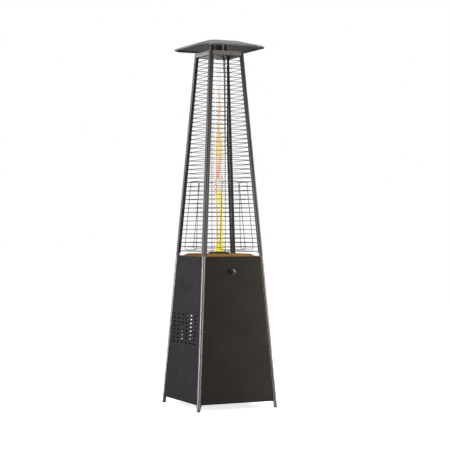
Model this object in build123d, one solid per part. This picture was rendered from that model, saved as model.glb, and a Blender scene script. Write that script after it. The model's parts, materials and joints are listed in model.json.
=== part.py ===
"""Gas patio heater: a leaning four-post frame with a gas cabinet, a glass flame tube and a hood.

The origin is on the floor under the middle of the heater, Z is up and the front faces -Y.
Each of the four faces leans in by the same angle. A face is drawn once as the front face and
turned to its place, and a depth is measured level, inwards from the outer face of the frame.
"""
from build123d import *
from math import atan, cos, hypot, sin, sqrt, tan
import os

os.makedirs("parts", exist_ok=True)

# ------------------------------------------------------------------ overall sizes
floor_width = 545.0         # over the posts at the floor
top_width = 233.0           # over the posts at the top plate
frame_height = 2202.0       # floor to the top of the top plate
hood_rise = 68.0            # top plate to the top of the hood
cabinet_bottom = 41.0       # floor to the lower edge of the cabinet panels
deck_height = 933.0         # floor to the upper edge of the cabinet panels

# ------------------------------------------------------------------ clearances
running_gap = 0.05          # radial gap of a pin or screw in its hole
seat_gap = 0.4              # between pieces that are fitted but don't move
moving_gap = 0.3            # between pieces that move past each other
overcut = 1.0               # how far a cutter passes the solid that it cuts

# ------------------------------------------------------------------ posts
nose_radius = 11.0          # rolled round nose of a post
post_wall = 1.2
flange_reach = 6.0          # width of a flange beyond the round nose
flange_recess = 3.0         # depth of a flange's outer side
flange_wall = 1.5
foot_cut_height = 18.0      # where the flange's taper ends above the floor
foot_cut_width = 7.5        # how much of the flange the taper takes off
cap_height = 8.0            # part of a foot cap that shows
cap_plug_height = 20.0
splice_half_length = 60.0

# ------------------------------------------------------------------ cabinet
panel_wall = 1.2
panel_edge = 7.0            # width of the flange that a panel covers
fold_depth = 17.0           # folded edges at the top and foot of a panel
vent_columns = 6
vent_rows = 8
vent_length = 30.0
vent_width = 9.0
vent_column_pitch = 62.5
vent_row_pitch = 24.3
vent_rise = 359.0           # cabinet's lower edge to the middle of the lowest row
base_wall = 1.5
cylinder_ring_radius = 162.0
cylinder_ring_wall = 1.5
cylinder_ring_height = 22.0
air_hole_radius = 15.0
air_hole_columns = (-200.0, 200.0)
air_hole_rows = (-80.0, 0.0, 80.0)
shield_drop = 143.0         # deck to the heat shield
shield_wall = 1.0
hose_hole_radius = 20.0
tilt_switch_place = (90.0, -70.0)
tilt_switch_length = 34.0
tilt_switch_width = 24.0
tilt_switch_height = 22.0

# ------------------------------------------------------------------ rear door
door_fold_room = 18.0       # from the edge of a flange to the end of a door's fold
door_fold_depth = 10.0
door_fold_rise = 5.0        # from the door's lower edge to its fold
door_top_gap = 1.5
hinge_rise = 124.0          # cabinet's lower edge to the lower hinge
hinge_drop = 143.0          # deck to the upper hinge
hinge_from_nose = 6.5       # pin axis, along the face from the middle of the post's nose
hinge_stand_off = 3.0       # pin axis, outwards from the frame's outer face
pin_radius = 2.0
knuckle_radius = 4.0
knuckle_length = 14.0
knuckle_gap = 0.4
leaf_wall = 1.5
leaf_length = 28.5          # from the pin's axis to the far edge of the door's leaf
post_leaf_end = 3.0         # far edge of the post's leaf, from the corner line
pin_head_height = 2.0
handle_rise = 559.0         # cabinet's lower edge to the middle of the handle
handle_length = 96.0
handle_reach = 26.0
handle_radius = 4.0
handle_bend = 12.0
handle_room = 24.0          # from the edge of a flange to the handle's axis
magnet_length = 40.0
magnet_width = 14.0
magnet_wall = 9.0

# ------------------------------------------------------------------ deck and glass
deck_wall = 1.2
deck_raise_height = 14.0
deck_raise_base = 171.0     # half-width of the raised middle at its foot
deck_raise_top = 147.0      # half-width of the raised middle at its top
pilot_room = 8.0            # from the burner pot to the edge of the deck's hole, for the pilot
glass_seat_inset = 5.5      # from the edge of the deck's hole to the outside of the glass
glass_wall = 2.8
glass_top_above_frame = 5.0
seat_rim = 17.5             # from the outside of the glass to the edge of its seat ring
seat_height = 9.0
seat_floor = 2.0
gasket_height = 2.0

# ------------------------------------------------------------------ guards
wire_radius = 1.8
wire_pitch = 26.95
first_wire_above_deck = 29.3
wire_depth = 11.0
rail_wall = 1.5
rail_leg_depth = 13.0       # depth reached by the rail's inner leg
rail_edge = 6.6             # width of the rail's leg on the flange
rail_rise = 17.0            # deck to the foot of a rail
rail_overlap = 11.0         # how far a rail reaches up behind the top plate's skirt
loop_bottom_above_deck = 41.0
loop_top_above_deck = 463.0
loop_margin = 116.5         # from the corner line to a side of the loop
loop_corner_radius = 11.0
weld_depth = 0.2            # how far a loop sinks into the level wires

# ------------------------------------------------------------------ top plate, flue and hood
plate_wall = 1.5
skirt_height = 25.0
flue_gap = 3.25             # between the glass and the outside of the flue
flue_wall = 1.5
flue_height = 48.0
flue_slots = 16
flue_slot_length = 24.0
flue_slot_width = 5.0
flue_slot_from_top = 19.0   # flue's top edge to the middle of a slot
rod_radius = 2.5
rod_room = 7.25             # from the outside of the flue to a rod's axis
rod_tail = 4.0              # rod below its lowest nut
nut_across_flats = 7.0
nut_height = 4.0
cap_nut_height = 6.0
cap_nut_crown = 2.0         # closed end of a cap nut, over the rod
cap_nut_chamfer = 1.2
hood_half_width = 228.0
hood_corner_cut = 52.0
hood_rim_drop = 38.0        # hood's top to its rim
hood_lip = 10.0             # down-turned lip under the rim
hood_top_half_width = 100.0
hood_top_corner_cut = 24.0
hood_wall = 1.2

# ------------------------------------------------------------------ frame screws
screw_radius = 2.0
screw_head_radius = 3.4
screw_head_height = 2.2
screw_reach = 7.0
panel_screw_inset = 3.3     # from the edge of a flange
guard_screw_inset = 3.6     # from the edge of a flange
panel_screw_rises = (79.0, 439.0)   # above the cabinet's lower edge
panel_screw_drop = 83.0     # below the deck
splice_screw_reach = 30.0   # above and below the joint of the posts

# ------------------------------------------------------------------ control and gas valve
knob_drop = 94.8            # deck to the knob's axis
knob_offset = -6.0
knob_radius = 15.0
knob_grip_radius = 12.5
knob_skirt = 4.0
knob_length = 17.5
knob_travel = 4.0
knob_flutes = 18
flute_radius = 1.8
flute_offset = 0.9          # flute's axis, outside the grip
knob_chamfer = 1.2
bezel_radius = 18.0
bezel_height = 3.0
stem_radius = 3.0
stem_flat = 2.0             # from the stem's axis to its flat
valve_width = 36.0
valve_tall = 40.0
valve_length = 44.0
valve_corner = 5.0
valve_neck_radius = 11.0
plug_radius = 8.0
bracket_wall = 2.0
bracket_width = 84.0
bracket_tall = 64.0
bracket_corner = 4.0
spring_wire = 0.6
spring_turns = 5
coil_gap = 0.1              # between the spring and what it rests on
inlet_radius = 8.33
inlet_length = 16.0
inlet_collar_radius = 10.0
inlet_collar_height = 6.0
inlet_bore = 4.0
pilot_port = (-12.0, 12.0)  # pilot tube's place on the back of the valve
thermo_port = (12.0, 12.0)  # thermocouple's place on the back of the valve
port_depth = 6.0
port_radius = 1.6
piezo_radius = 7.0
piezo_length = 34.0
piezo_room = 5.0            # between the valve and the igniter
piezo_tag_radius = 3.0
piezo_tag_length = 4.0

# ------------------------------------------------------------------ burner and pilot
pot_radius = 34.0
pot_wall = 1.2
pot_depth = 45.0
pot_flange = 10.0           # width of the pot's flange beyond the deck's hole
venturi_radius = 12.0
venturi_wall = 1.2
venturi_length = 60.0
venturi_depth = 14.0        # how far the venturi reaches into the pot
air_slot_length = 14.0
air_slot_width = 7.0
screen_drop = 5.0           # pot's rim to the flame screen
screen_wall = 1.0
screen_skirt = 7.0
screen_rings = 4
screen_ring_pitch = 6.6
screen_hole_radius = 1.6
orifice_radius = 8.0
orifice_length = 13.0
orifice_socket = 8.0
orifice_tip_radius = 4.0
jet_radius = 0.9
manifold_radius = 4.0
manifold_wall = 1.0
manifold_bends = [26, 26, 14]
strap_width = 20.0
strap_wall = 1.5
strap_tab = 12.0
pilot_stand_off = 4.0       # from the outside of the pot to the pilot's axis
pilot_pitch = 8.0
pilot_tube_turn = 20.0      # from the outside of the pot inwards to the pilot tube's lower bend
pilot_radius = 2.4
pilot_hood_radius = 3.2
pilot_bore = 1.2
probe_radius = 2.0          # thermocouple's tip and the electrode's ceramic
electrode_radius = 0.8
thermo_lead_radius = 1.2
igniter_lead_radius = 1.4
tube_wall = 0.6
lead_bends = [14, 40, 18]   # radii of the three bends of each lead
pilot_shelf = 7.4           # width of the bracket's level part

# ------------------------------------------------------------------ places and sizes that follow
hood_height = frame_height + hood_rise
flange_width = 2 * nose_radius + flange_reach   # from the corner line to the edge of a flange
panel_margin = flange_width - panel_edge
rail_margin = flange_width - rail_edge
panel_screw_margin = flange_width - panel_screw_inset
guard_screw_margin = flange_width - guard_screw_inset
panel_screw_heights = [cabinet_bottom + rise for rise in panel_screw_rises] + [deck_height - panel_screw_drop]
vent_bottom = cabinet_bottom + vent_rise
shield_height = deck_height - shield_drop
hinge_heights = (cabinet_bottom + hinge_rise, deck_height - hinge_drop)
hinge_from_corner = nose_radius + hinge_from_nose
leaf_end = hinge_from_corner + leaf_length
door_fold_margin = flange_width + door_fold_room
handle_height = cabinet_bottom + handle_rise
handle_margin = flange_width + handle_room
knob_height = deck_height - knob_drop
pilot_x = pot_radius + pilot_stand_off
deck_hole_radius = pot_radius + pilot_room
glass_radius = deck_hole_radius + glass_seat_inset
seat_radius = glass_radius + seat_rim
flue_radius = glass_radius + flue_gap
rod_ring_radius = flue_radius + rod_room
first_wire = deck_height + first_wire_above_deck
rail_low = deck_height + rail_rise
rail_high = frame_height - skirt_height + rail_overlap
wire_count = int((rail_high - wire_radius - first_wire) / wire_pitch) + 1
screwed_gaps = (0, wire_count // 2 - 1, wire_count - 3)     # gaps between wires that hold a guard's screws
guard_screw_heights = [first_wire + (gap + 0.5) * wire_pitch for gap in screwed_gaps]
lean = atan((floor_width - top_width) / 2 / frame_height)
post_direction = (-tan(lean), tan(lean), 1)


# ------------------------------------------------------------------ shared geometry
def half_width(z):
    """Half of the frame's outer width at a height."""
    return floor_width / 2 - z * tan(lean)


def up(z):
    """Distance up a leaning face that reaches a height."""
    return z / cos(lean)


def face_plane(depth):
    """Plane of the front face, set in by a depth: X right, Y up the slope, Z outwards."""
    return Plane(origin=(0, depth - floor_width / 2, 0), x_dir=(1, 0, 0), z_dir=(0, -cos(lean), sin(lean)))


def band(low, high, margin):
    """Outline of the face between two heights, set in from both corner lines."""
    wide, narrow = half_width(low) - margin, half_width(high) - margin
    return Polygon((-wide, up(low)), (wide, up(low)), (narrow, up(high)), (-narrow, up(high)), align=None)


def sheet(outline, outer_depth, inner_depth):
    """Flat sheet with the outline on the front face, between two depths."""
    return extrude(face_plane(outer_depth) * outline, -(inner_depth - outer_depth) * cos(lean))


def box_outline(x_low, y_low, x_high, y_high):
    """Level rectangle between two corners."""
    middle = Pos((x_low + x_high) / 2, (y_low + y_high) / 2)
    return middle * Rectangle(x_high - x_low, y_high - y_low)


def square(half):
    """Square about the axis."""
    return Rectangle(2 * half, 2 * half)


def turned(shape, degrees):
    """A shape of the front face turned to another face."""
    return Rot(0, 0, degrees) * shape


def at_edge(z, margin):
    """Place on the face outline at a height, in from the right corner line."""
    return Pos(half_width(z) - margin, up(z))


def leaning_bar(outline, low, high):
    """Bar that follows the front right corner line; the outline is drawn from the corner, inwards."""
    place = Pos(half_width(low), -half_width(low), low)
    return extrude(place * outline, (high - low) * hypot(*post_direction), dir=post_direction)


def ring(outer, inner, low, high):
    """Upright round ring about the heater's axis."""
    return Pos(0, 0, low) * extrude(Circle(outer) - Circle(inner), high - low)


def rod(radius, low, high):
    """Upright round rod on the local axis."""
    return Pos(0, 0, low) * extrude(Circle(radius), high - low)


def tube(points, radii, outer, inner):
    """Bent tube along runs joined by tangent arcs."""
    path = FilletPolyline(*points, radius=radii)
    start = Plane(origin=path @ 0, z_dir=path % 0)
    return sweep(start * (Circle(outer) - Circle(inner)), path=path)


def wire(points, radii, radius):
    """Bent solid wire along runs joined by tangent arcs."""
    path = FilletPolyline(*points, radius=radii)
    return sweep(Plane(origin=path @ 0, z_dir=path % 0) * Circle(radius), path=path)


def save(name, *solids):
    """Write one node, made of one or more separate solids."""
    bodies = [solid for shape in solids for solid in shape.solids()]
    export_step(bodies[0] if len(bodies) == 1 else Compound(children=bodies), f"parts/{name}.step")


face_turns = {"front": 0, "right": 90, "rear": 180, "left": -90}
corner_turns = {"front_right": 0, "rear_right": 90, "rear_left": 180, "front_left": -90}


# ------------------------------------------------------------------ frame screws and their holes
def screw():
    """Pan-head screw with its head on the local plane."""
    head = extrude(Circle(screw_head_radius), screw_head_height)
    head = fillet(head.edges().group_by(Axis.Z)[-1], screw_head_height / 2)
    return head + extrude(Circle(screw_radius), -screw_reach)


panel_face_depth = flange_recess - panel_wall / cos(lean)


def face_sites(heights, margin):
    """Screw places on both edges of the face outline."""
    right = [at_edge(z, margin) for z in heights]
    left = [Pos(margin - half_width(z), up(z)) for z in heights]
    return right + left


def face_screws(heights, margin, depth):
    """Screws along both edges of the front face, with their heads on a surface at a depth."""
    plane = face_plane(0)
    seated = Pos(0, 0, -depth * cos(lean)) * screw()
    return [plane * site * seated for site in face_sites(heights, margin)]


def face_drills(heights, margin):
    """Clearance drills along both edges of the front face."""
    plane = face_plane(0)
    drill = extrude(Circle(screw_radius + running_gap), -2 * screw_reach)
    return [plane * site * drill for site in face_sites(heights, margin)]


panel_drills = face_drills(panel_screw_heights, panel_screw_margin)
guard_drills = face_drills(guard_screw_heights, guard_screw_margin)


def splice_place(z):
    """Frame on the front right post's axis, Z square to the post and towards the heater's axis."""
    middle = half_width(z) - nose_radius
    return Plane(origin=(middle, -middle, z), x_dir=post_direction, z_dir=(-1, 1, -2 * tan(lean)))


splice_heights = (deck_height - splice_screw_reach, deck_height + splice_screw_reach)
splice_drill = rod(screw_radius + running_gap, 0, 2 * nose_radius)
splice_drills = [splice_place(z) * splice_drill for z in splice_heights]
splice_shank = rod(screw_radius, nose_radius / 3, nose_radius)
splice_head = rod(screw_head_radius, nose_radius, nose_radius + screw_head_height)
splice_screws = [splice_place(z) * (splice_shank + splice_head) for z in splice_heights]


# ------------------------------------------------------------------ posts
def post_outline():
    """Section of a post, drawn from the corner line inwards: round nose and two flanges."""
    nose = Pos(-nose_radius, nose_radius) * Circle(nose_radius)
    bore = Pos(-nose_radius, nose_radius) * Circle(nose_radius - post_wall)
    low, high = flange_recess, flange_recess + flange_wall
    across = box_outline(-flange_width, low, -nose_radius, high)
    along = box_outline(-high, nose_radius, -low, flange_width)
    return nose + across + along - bore


def foot_cut():
    """Piece that tapers the front flange off above the foot."""
    inner, outer = flange_width - foot_cut_width, flange_width + overcut
    taper_top = cabinet_bottom + overcut
    points = [(foot_cut_height, inner), (taper_top, outer), (-overcut, outer), (-overcut, inner)]
    outline = Polygon(*[(half_width(z) - margin, up(z)) for z, margin in points], align=None)
    return sheet(outline, flange_recess - overcut, flange_recess + flange_wall + flange_recess / 10)


mirror_corner = Plane(origin=(0, 0, 0), x_dir=(0, 0, 1), z_dir=(1, 1, 0))
lower_post = leaning_bar(post_outline(), cap_height, deck_height)
lower_post -= foot_cut() + mirror(foot_cut(), mirror_corner)
upper_post = leaning_bar(post_outline(), deck_height, frame_height - plate_wall)
for cutter in splice_drills:
    lower_post -= cutter
    upper_post -= cutter

for corner, degrees in corner_turns.items():
    low_post = turned(lower_post, degrees)
    high_post = turned(upper_post, degrees)
    for face, face_degrees in face_turns.items():
        near = abs((face_degrees - degrees) % 360) in (0, 90)
        if near and face != "rear":
            low_post -= [turned(drill, face_degrees) for drill in panel_drills]
        if near:
            high_post -= [turned(drill, face_degrees) for drill in guard_drills]
    save(f"lower_post_{corner}", low_post)
    save(f"upper_post_{corner}", high_post)

bore_radius = nose_radius - post_wall
nose_centre = Pos(-nose_radius, nose_radius)
cap = leaning_bar(nose_centre * Circle(nose_radius), 0, cap_height)
plug_outline = nose_centre * Circle(bore_radius - seat_gap)
cap_plug = leaning_bar(plug_outline, cap_height - overcut, cap_height + cap_plug_height)
foot_cap = cap + cap_plug
save("foot_caps", *[turned(foot_cap, degrees) for degrees in corner_turns.values()])

splice_outline = nose_centre * Circle(bore_radius - seat_gap / 2)
splice = leaning_bar(splice_outline, deck_height - splice_half_length, deck_height + splice_half_length)
for cutter in splice_drills:
    splice -= cutter
save("post_splices", *[turned(splice, degrees) for degrees in corner_turns.values()])


# ------------------------------------------------------------------ cabinet panels
def vent_outline():
    """Grid of level slots with round ends."""
    slots = Sketch()
    middle = (vent_columns - 1) / 2
    for column in range(vent_columns):
        for row in range(vent_rows):
            z = vent_bottom + row * vent_row_pitch
            slots += Pos((column - middle) * vent_column_pitch, up(z)) * SlotOverall(vent_length, vent_width)
    return slots


def fold(z, low, high, outer, depth, margin):
    """Level folded edge behind the front face, from one depth to another."""
    face = half_width(z)
    strip = box_outline(margin - face, outer - face, face - margin, depth - face)
    return Pos(0, 0, low) * extrude(strip, high - low)


def cabinet_panel(outline_cut=None):
    """Flat leaning panel with a folded edge at its top and at its foot."""
    outline = band(cabinet_bottom, deck_height, panel_margin)
    if outline_cut is not None:
        outline -= outline_cut
    panel = sheet(outline, panel_face_depth, flange_recess)
    inside = flange_recess - panel_wall / 2
    reach = flange_recess + fold_depth
    for z, low in ((deck_height, deck_height - panel_wall), (cabinet_bottom, cabinet_bottom)):
        panel += fold(z, low, low + panel_wall, inside, reach, flange_width + 1)
    for drill in panel_drills:
        panel -= drill
    return panel


knob_place = Pos(knob_offset, up(knob_height))
stem_hole_radius = valve_neck_radius + seat_gap
front_cut = knob_place * Circle(stem_hole_radius)
vented = vent_outline()
save("front_panel", cabinet_panel(front_cut))
save("left_panel", turned(cabinet_panel(vented), face_turns["left"]))
save("right_panel", turned(cabinet_panel(vented), face_turns["right"]))

# ------------------------------------------------------------------ cabinet inside
flange_inside = flange_recess + flange_wall
post_notch = 2 * nose_radius + seat_gap


def notched_plate(z, low, high):
    """Square plate between the posts' flanges, cut away at the corners for the round noses."""
    half = half_width(z) - flange_inside - seat_gap
    corner = half_width(z) - post_notch
    outline = square(half)
    for x in (-half, half):
        for y in (-half, half):
            outline -= Pos(x, y) * square(half - corner)
    return Pos(0, 0, low) * extrude(outline, high - low)


base_low = cabinet_bottom + panel_wall
base_high = base_low + base_wall
base_plate = notched_plate(base_high, base_low, base_high)
for x in air_hole_columns:
    for y in air_hole_rows:
        base_plate -= Pos(x, y) * rod(air_hole_radius, base_low - overcut, base_high + overcut)
save("base_plate", base_plate)
ring_outer = cylinder_ring_radius + cylinder_ring_wall
save("cylinder_ring", ring(ring_outer, cylinder_ring_radius, base_high, base_high + cylinder_ring_height))

# ------------------------------------------------------------------ deck with its raised middle
raise_top = deck_height + deck_raise_height


def raised_solid(inset, drop):
    """Truncated pyramid of the deck's raised middle."""
    low = Pos(0, 0, deck_height - drop) * square(deck_raise_base - inset)
    high = Pos(0, 0, raise_top - drop) * square(deck_raise_top - inset)
    return loft([low, high])


deck = notched_plate(deck_height + deck_wall, deck_height, deck_height + deck_wall)
deck += raised_solid(0, 0)
deck -= raised_solid(deck_wall, deck_wall)
deck -= Pos(0, 0, deck_height - deck_wall) * extrude(square(deck_raise_base - deck_wall), deck_wall)
deck -= rod(deck_hole_radius, deck_height, raise_top + overcut)
save("deck", deck)

# ------------------------------------------------------------------ glass tube and its seat
seat_top = raise_top + seat_height
groove_inner = glass_radius - glass_wall - seat_gap
groove_outer = glass_radius + seat_gap
gasket_low = raise_top + seat_floor
glass_low = gasket_low + gasket_height
seat = ring(seat_radius, deck_hole_radius, raise_top, seat_top)
seat = chamfer(seat.edges().group_by(Axis.Z)[-1].sort_by(SortBy.LENGTH)[-1], seat_height / 3)
seat -= ring(groove_outer, groove_inner, gasket_low, seat_top + overcut)
save("glass_seat_ring", seat)
save("glass_gasket", ring(groove_outer, groove_inner, gasket_low, glass_low))
glass_top = frame_height + glass_top_above_frame
save("glass_tube", ring(glass_radius, glass_radius - glass_wall, glass_low, glass_top))


# ------------------------------------------------------------------ wire guards
def rail_outline():
    """Angle section of a guard's side rail, drawn from the corner line inwards."""
    seat_leg = box_outline(-flange_width, flange_inside, -rail_margin, flange_inside + rail_wall)
    wire_leg = box_outline(-flange_width, flange_inside, rail_wall - flange_width, rail_leg_depth)
    return seat_leg + wire_leg


def guard_wire(z):
    """Level wire from rail to rail."""
    half = half_width(z) - flange_width + rail_wall / 2
    place = Plane(origin=(-half, wire_depth - half_width(z), z), x_dir=(0, 1, 0), z_dir=(1, 0, 0))
    return extrude(place * Circle(wire_radius), 2 * half)


def guard_loop():
    """Closed wire loop with round corners, welded across the outside of the level wires."""
    depth = wire_depth - 2 * wire_radius + weld_depth
    low, high = deck_height + loop_bottom_above_deck, deck_height + loop_top_above_deck
    outline = band(low, high, loop_margin)
    outline = fillet(outline.vertices(), loop_corner_radius)
    path = (face_plane(depth) * outline).wires()[0]
    start = Plane(origin=path @ 0, z_dir=path % 0)
    return sweep(start * Circle(wire_radius), path=path)


right_rail = leaning_bar(rail_outline(), rail_low, rail_high)
left_rail = mirror(right_rail, Plane.YZ)
guard = right_rail + left_rail
guard += [guard_wire(first_wire + i * wire_pitch) for i in range(wire_count)]
guard += guard_loop()
guard -= guard_drills
for face, degrees in face_turns.items():
    save(f"guard_{face}", turned(guard, degrees))

# ------------------------------------------------------------------ all frame screws
guard_screws = face_screws(guard_screw_heights, guard_screw_margin, flange_recess)
panel_screws = face_screws(panel_screw_heights, panel_screw_margin, panel_face_depth)
screws = []
for face, degrees in face_turns.items():
    screws += [turned(item, degrees) for item in guard_screws]
    if face != "rear":
        screws += [turned(item, degrees) for item in panel_screws]
for degrees in corner_turns.values():
    screws += [turned(item, degrees) for item in splice_screws]
save("frame_screws", *screws)

# ------------------------------------------------------------------ top plate
rod_places = [Rot(0, 0, 90 * i) * Pos(rod_ring_radius, 0, 0) for i in range(4)]
plate_low = frame_height - plate_wall
top_plate = Pos(0, 0, plate_low) * extrude(RectangleRounded(top_width, top_width, nose_radius), plate_wall)
skirt_outline = band(frame_height - skirt_height, plate_low + plate_wall / 2, panel_margin)
skirt = sheet(skirt_outline, panel_face_depth, flange_recess)
for degrees in face_turns.values():
    top_plate += turned(skirt, degrees)
top_plate -= rod(glass_radius + 2 * seat_gap, plate_low - overcut, frame_height + overcut)
rod_drill = rod(rod_radius + running_gap, plate_low - overcut, hood_height + overcut)
for place in rod_places:
    top_plate -= place * rod_drill
save("top_plate", top_plate)

# ------------------------------------------------------------------ flue sleeve over the glass
flue = ring(flue_radius, flue_radius - flue_wall, frame_height, frame_height + flue_height)
slot_plane = Plane(origin=(0, 0, 0), x_dir=(0, 1, 0), z_dir=(1, 0, 0))
slot_middle = Pos(0, frame_height + flue_height - flue_slot_from_top)
flue_slot = SlotOverall(flue_slot_length, flue_slot_width, rotation=90)
slot_cutter = extrude(slot_plane * slot_middle * flue_slot, flue_radius + overcut)
for i in range(flue_slots):
    flue -= Rot(0, 0, (i + 0.5) * 360 / flue_slots) * slot_cutter
save("flue_sleeve", flue)


# ------------------------------------------------------------------ hood
def clipped_square(half, cut):
    """Square with its corners cut off."""
    points = []
    for quarter in range(4):
        turn = Rot(0, 0, 90 * quarter)
        for x, y in ((half, cut - half), (half, half - cut)):
            corner = turn * Pos(x, y)
            points.append((corner.position.X, corner.position.Y))
    return Polygon(*points, align=None)


def hood_solid(inset, drop):
    """Solid under the hood's surface, shrunk for the inner side of the sheet."""
    rim = hood_height - hood_rim_drop
    slope_angle = atan(hood_rim_drop / (hood_half_width - hood_top_half_width))
    cut_change = inset * (2 - sqrt(2))
    top_inset = inset * tan(slope_angle / 2)
    rim_outline = clipped_square(hood_half_width - inset, hood_corner_cut - cut_change)
    top_outline = clipped_square(hood_top_half_width - top_inset, hood_top_corner_cut)
    outlines = [Pos(0, 0, rim - drop) * rim_outline, Pos(0, 0, hood_height - drop) * top_outline]
    slope = loft(outlines, ruled=True)
    lip = Pos(0, 0, rim - hood_lip - drop) * extrude(rim_outline, hood_lip)
    return slope + lip


hood = hood_solid(0, 0) - hood_solid(hood_wall, hood_wall)
for place in rod_places:
    hood -= place * rod_drill
save("hood", hood)


hexagon = RegularPolygon(nut_across_flats / 2, 6, major_radius=False)


def nut(low, height):
    """Hexagon nut on a standoff rod."""
    return Pos(0, 0, low) * extrude(hexagon - Circle(rod_radius + running_gap), height)


rod_low = plate_low - nut_height - rod_tail
rod_high = hood_height + cap_nut_height - cap_nut_crown
nut_lows = (plate_low - nut_height, frame_height, hood_height - hood_wall - nut_height)
rods = [place * rod(rod_radius, rod_low, rod_high) for place in rod_places]
save("standoff_rods", *rods)
save("standoff_nuts", *[place * nut(low, nut_height) for place in rod_places for low in nut_lows])

cap_nut = Pos(0, 0, hood_height) * extrude(hexagon, cap_nut_height)
cap_nut = chamfer(cap_nut.edges().group_by(Axis.Z)[-1], cap_nut_chamfer)
cap_nut -= rod(rod_radius + running_gap, hood_height - overcut, rod_high + running_gap)
save("hood_cap_nuts", *[place * cap_nut for place in rod_places])


# ------------------------------------------------------------------ rear door, drawn on the front face
edge_direction = Vector(*post_direction).normalized()
face_outward = Vector(0, -cos(lean), sin(lean))
edge_inward = face_outward.cross(edge_direction)


def hinge_plane(z):
    """Frame on the right corner line: X along the face, Y outwards, Z up the corner line."""
    origin = (half_width(z), -half_width(z), z)
    return Plane(origin=origin, x_dir=edge_inward, z_dir=edge_direction)


door_outer = panel_face_depth - moving_gap
door_inner = flange_recess - moving_gap
door_top = deck_height - door_top_gap
door = sheet(band(cabinet_bottom, door_top, panel_margin) - vented, door_outer, door_inner)
door_middle = (door_outer + door_inner) / 2
for low in (cabinet_bottom + door_fold_rise, door_top - door_fold_rise):
    door += fold(low, low, low + panel_wall, door_middle, door_inner + door_fold_depth, door_fold_margin)

hinge_middle = (hinge_from_corner, hinge_stand_off)
door_face = -door_outer * cos(lean)


def knuckle(index, bore):
    """One knuckle of a hinge; the middle one is on the door."""
    low = (index - 1) * (knuckle_length + knuckle_gap) - knuckle_length / 2
    outline = Circle(knuckle_radius) - Circle(bore)
    return Pos(*hinge_middle, low) * extrude(outline, knuckle_length)


def pin_bore(low, radius):
    """Cutter for the pin through one knuckle."""
    return Pos(*hinge_middle, low - overcut) * extrude(Circle(radius), knuckle_length + 2 * overcut)


def frame_leaf(index):
    """Short leaf that joins an outer knuckle to the nose of the post."""
    low = (index - 1) * (knuckle_length + knuckle_gap) - knuckle_length / 2
    outline = box_outline(post_leaf_end, 0, hinge_from_corner, leaf_wall)
    leaf = Pos(0, 0, low) * extrude(outline, knuckle_length)
    radius = pin_radius + running_gap / 2
    return knuckle(index, radius) + leaf - pin_bore(low, radius)


def door_leaf():
    """Leaf on the outer side of the door, with the middle knuckle."""
    low = -knuckle_length / 2
    flat = box_outline(hinge_from_corner, door_face, leaf_end, door_face + leaf_wall)
    web = box_outline(hinge_from_corner, door_face, hinge_from_corner + knuckle_radius, hinge_stand_off)
    leaf = Pos(0, 0, low) * extrude(flat + web, knuckle_length)
    radius = pin_radius + running_gap
    return leaf + knuckle(1, radius) - pin_bore(low, radius)


def hinge_pin():
    """Pin with a round head on the upper knuckle."""
    top = 1.5 * knuckle_length + knuckle_gap
    shank = Pos(*hinge_middle, -top) * extrude(Circle(pin_radius), 2 * top)
    head = Pos(*hinge_middle, top) * extrude(Circle(knuckle_radius - seat_gap), pin_head_height)
    return shank + head


rear = face_turns["rear"]
frame_leaves = [turned(hinge_plane(z) * frame_leaf(i), rear) for z in hinge_heights for i in (0, 2)]
save("hinge_post_leaves", *frame_leaves)
save("hinge_door_leaves", *[turned(hinge_plane(z) * door_leaf(), rear) for z in hinge_heights])
save("hinge_pins", *[turned(hinge_plane(z) * hinge_pin(), rear) for z in hinge_heights])

handle_x = handle_margin - half_width(handle_height)
handle_plane = face_plane(door_outer) * Pos(handle_x, up(handle_height))
handle_run = [
    (0, -handle_length / 2, 0),
    (0, -handle_length / 2, handle_reach),
    (0, handle_length / 2, handle_reach),
    (0, handle_length / 2, 0),
]
handle = handle_plane * wire(handle_run, [handle_bend, handle_bend], handle_radius)
save("door_handle", turned(handle, rear))
save("rear_door", turned(door, rear))

magnet_x = flange_width - 2 + magnet_width / 2 - half_width(handle_height)
magnet_outline = Pos(magnet_x, up(handle_height)) * Rectangle(magnet_width, magnet_length)
magnet = sheet(magnet_outline, flange_inside, flange_inside + magnet_wall)
save("door_magnet", turned(magnet, rear))

# ------------------------------------------------------------------ heat shield and tilt switch
panel_origin = face_plane(panel_face_depth) * knob_place
valve_plane = Plane(panel_origin)


def on_valve(x, y, z):
    """Point in the valve's frame: X right, Y up the panel, Z out of the panel."""
    return valve_plane.from_local_coords((x, y, z))


valve_back = -panel_wall - bracket_wall - valve_length
inlet_place = on_valve(0, 0, valve_back + valve_width / 2)
shield = notched_plate(shield_height + shield_wall, shield_height, shield_height + shield_wall)
hose_hole = rod(hose_hole_radius, shield_height - overcut, shield_height + shield_wall + overcut)
shield -= Pos(inlet_place.X, inlet_place.Y, 0) * hose_hole
save("heat_shield", shield)
switch_outline = RectangleRounded(tilt_switch_length, tilt_switch_width, 3)
switch_foot = Pos(*tilt_switch_place, shield_height + shield_wall)
tilt_switch = switch_foot * extrude(switch_outline, tilt_switch_height)
tilt_switch = fillet(tilt_switch.edges().group_by(Axis.Z)[-1], 1.5)
save("tilt_switch", tilt_switch)

# ------------------------------------------------------------------ gas valve, drawn in the panel's frame
body_front = -panel_wall - bracket_wall
neck_top = 0.5              # the neck ends just proud of the panel
cap_wall = 2.0
collar_wall = 1.7
cap_low = neck_top - cap_wall
collar_high = cap_low - moving_gap
collar_low = collar_high - collar_wall
plug_high = body_front - 9
plug_low = plug_high - 21
stem_low = plug_high - 12
bore_low = stem_low - knob_travel - overcut
neck_bore = plug_radius + running_gap
knob_low = bezel_height + knob_travel + seat_gap
knob_high = knob_low + knob_length
stem_high = knob_high - knob_skirt


def d_outline(radius, flat):
    """Round with one flat, for the stem and the bores that it drives."""
    return Circle(radius) - Pos(0, flat + radius) * Rectangle(3 * radius, 2 * radius)


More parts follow.
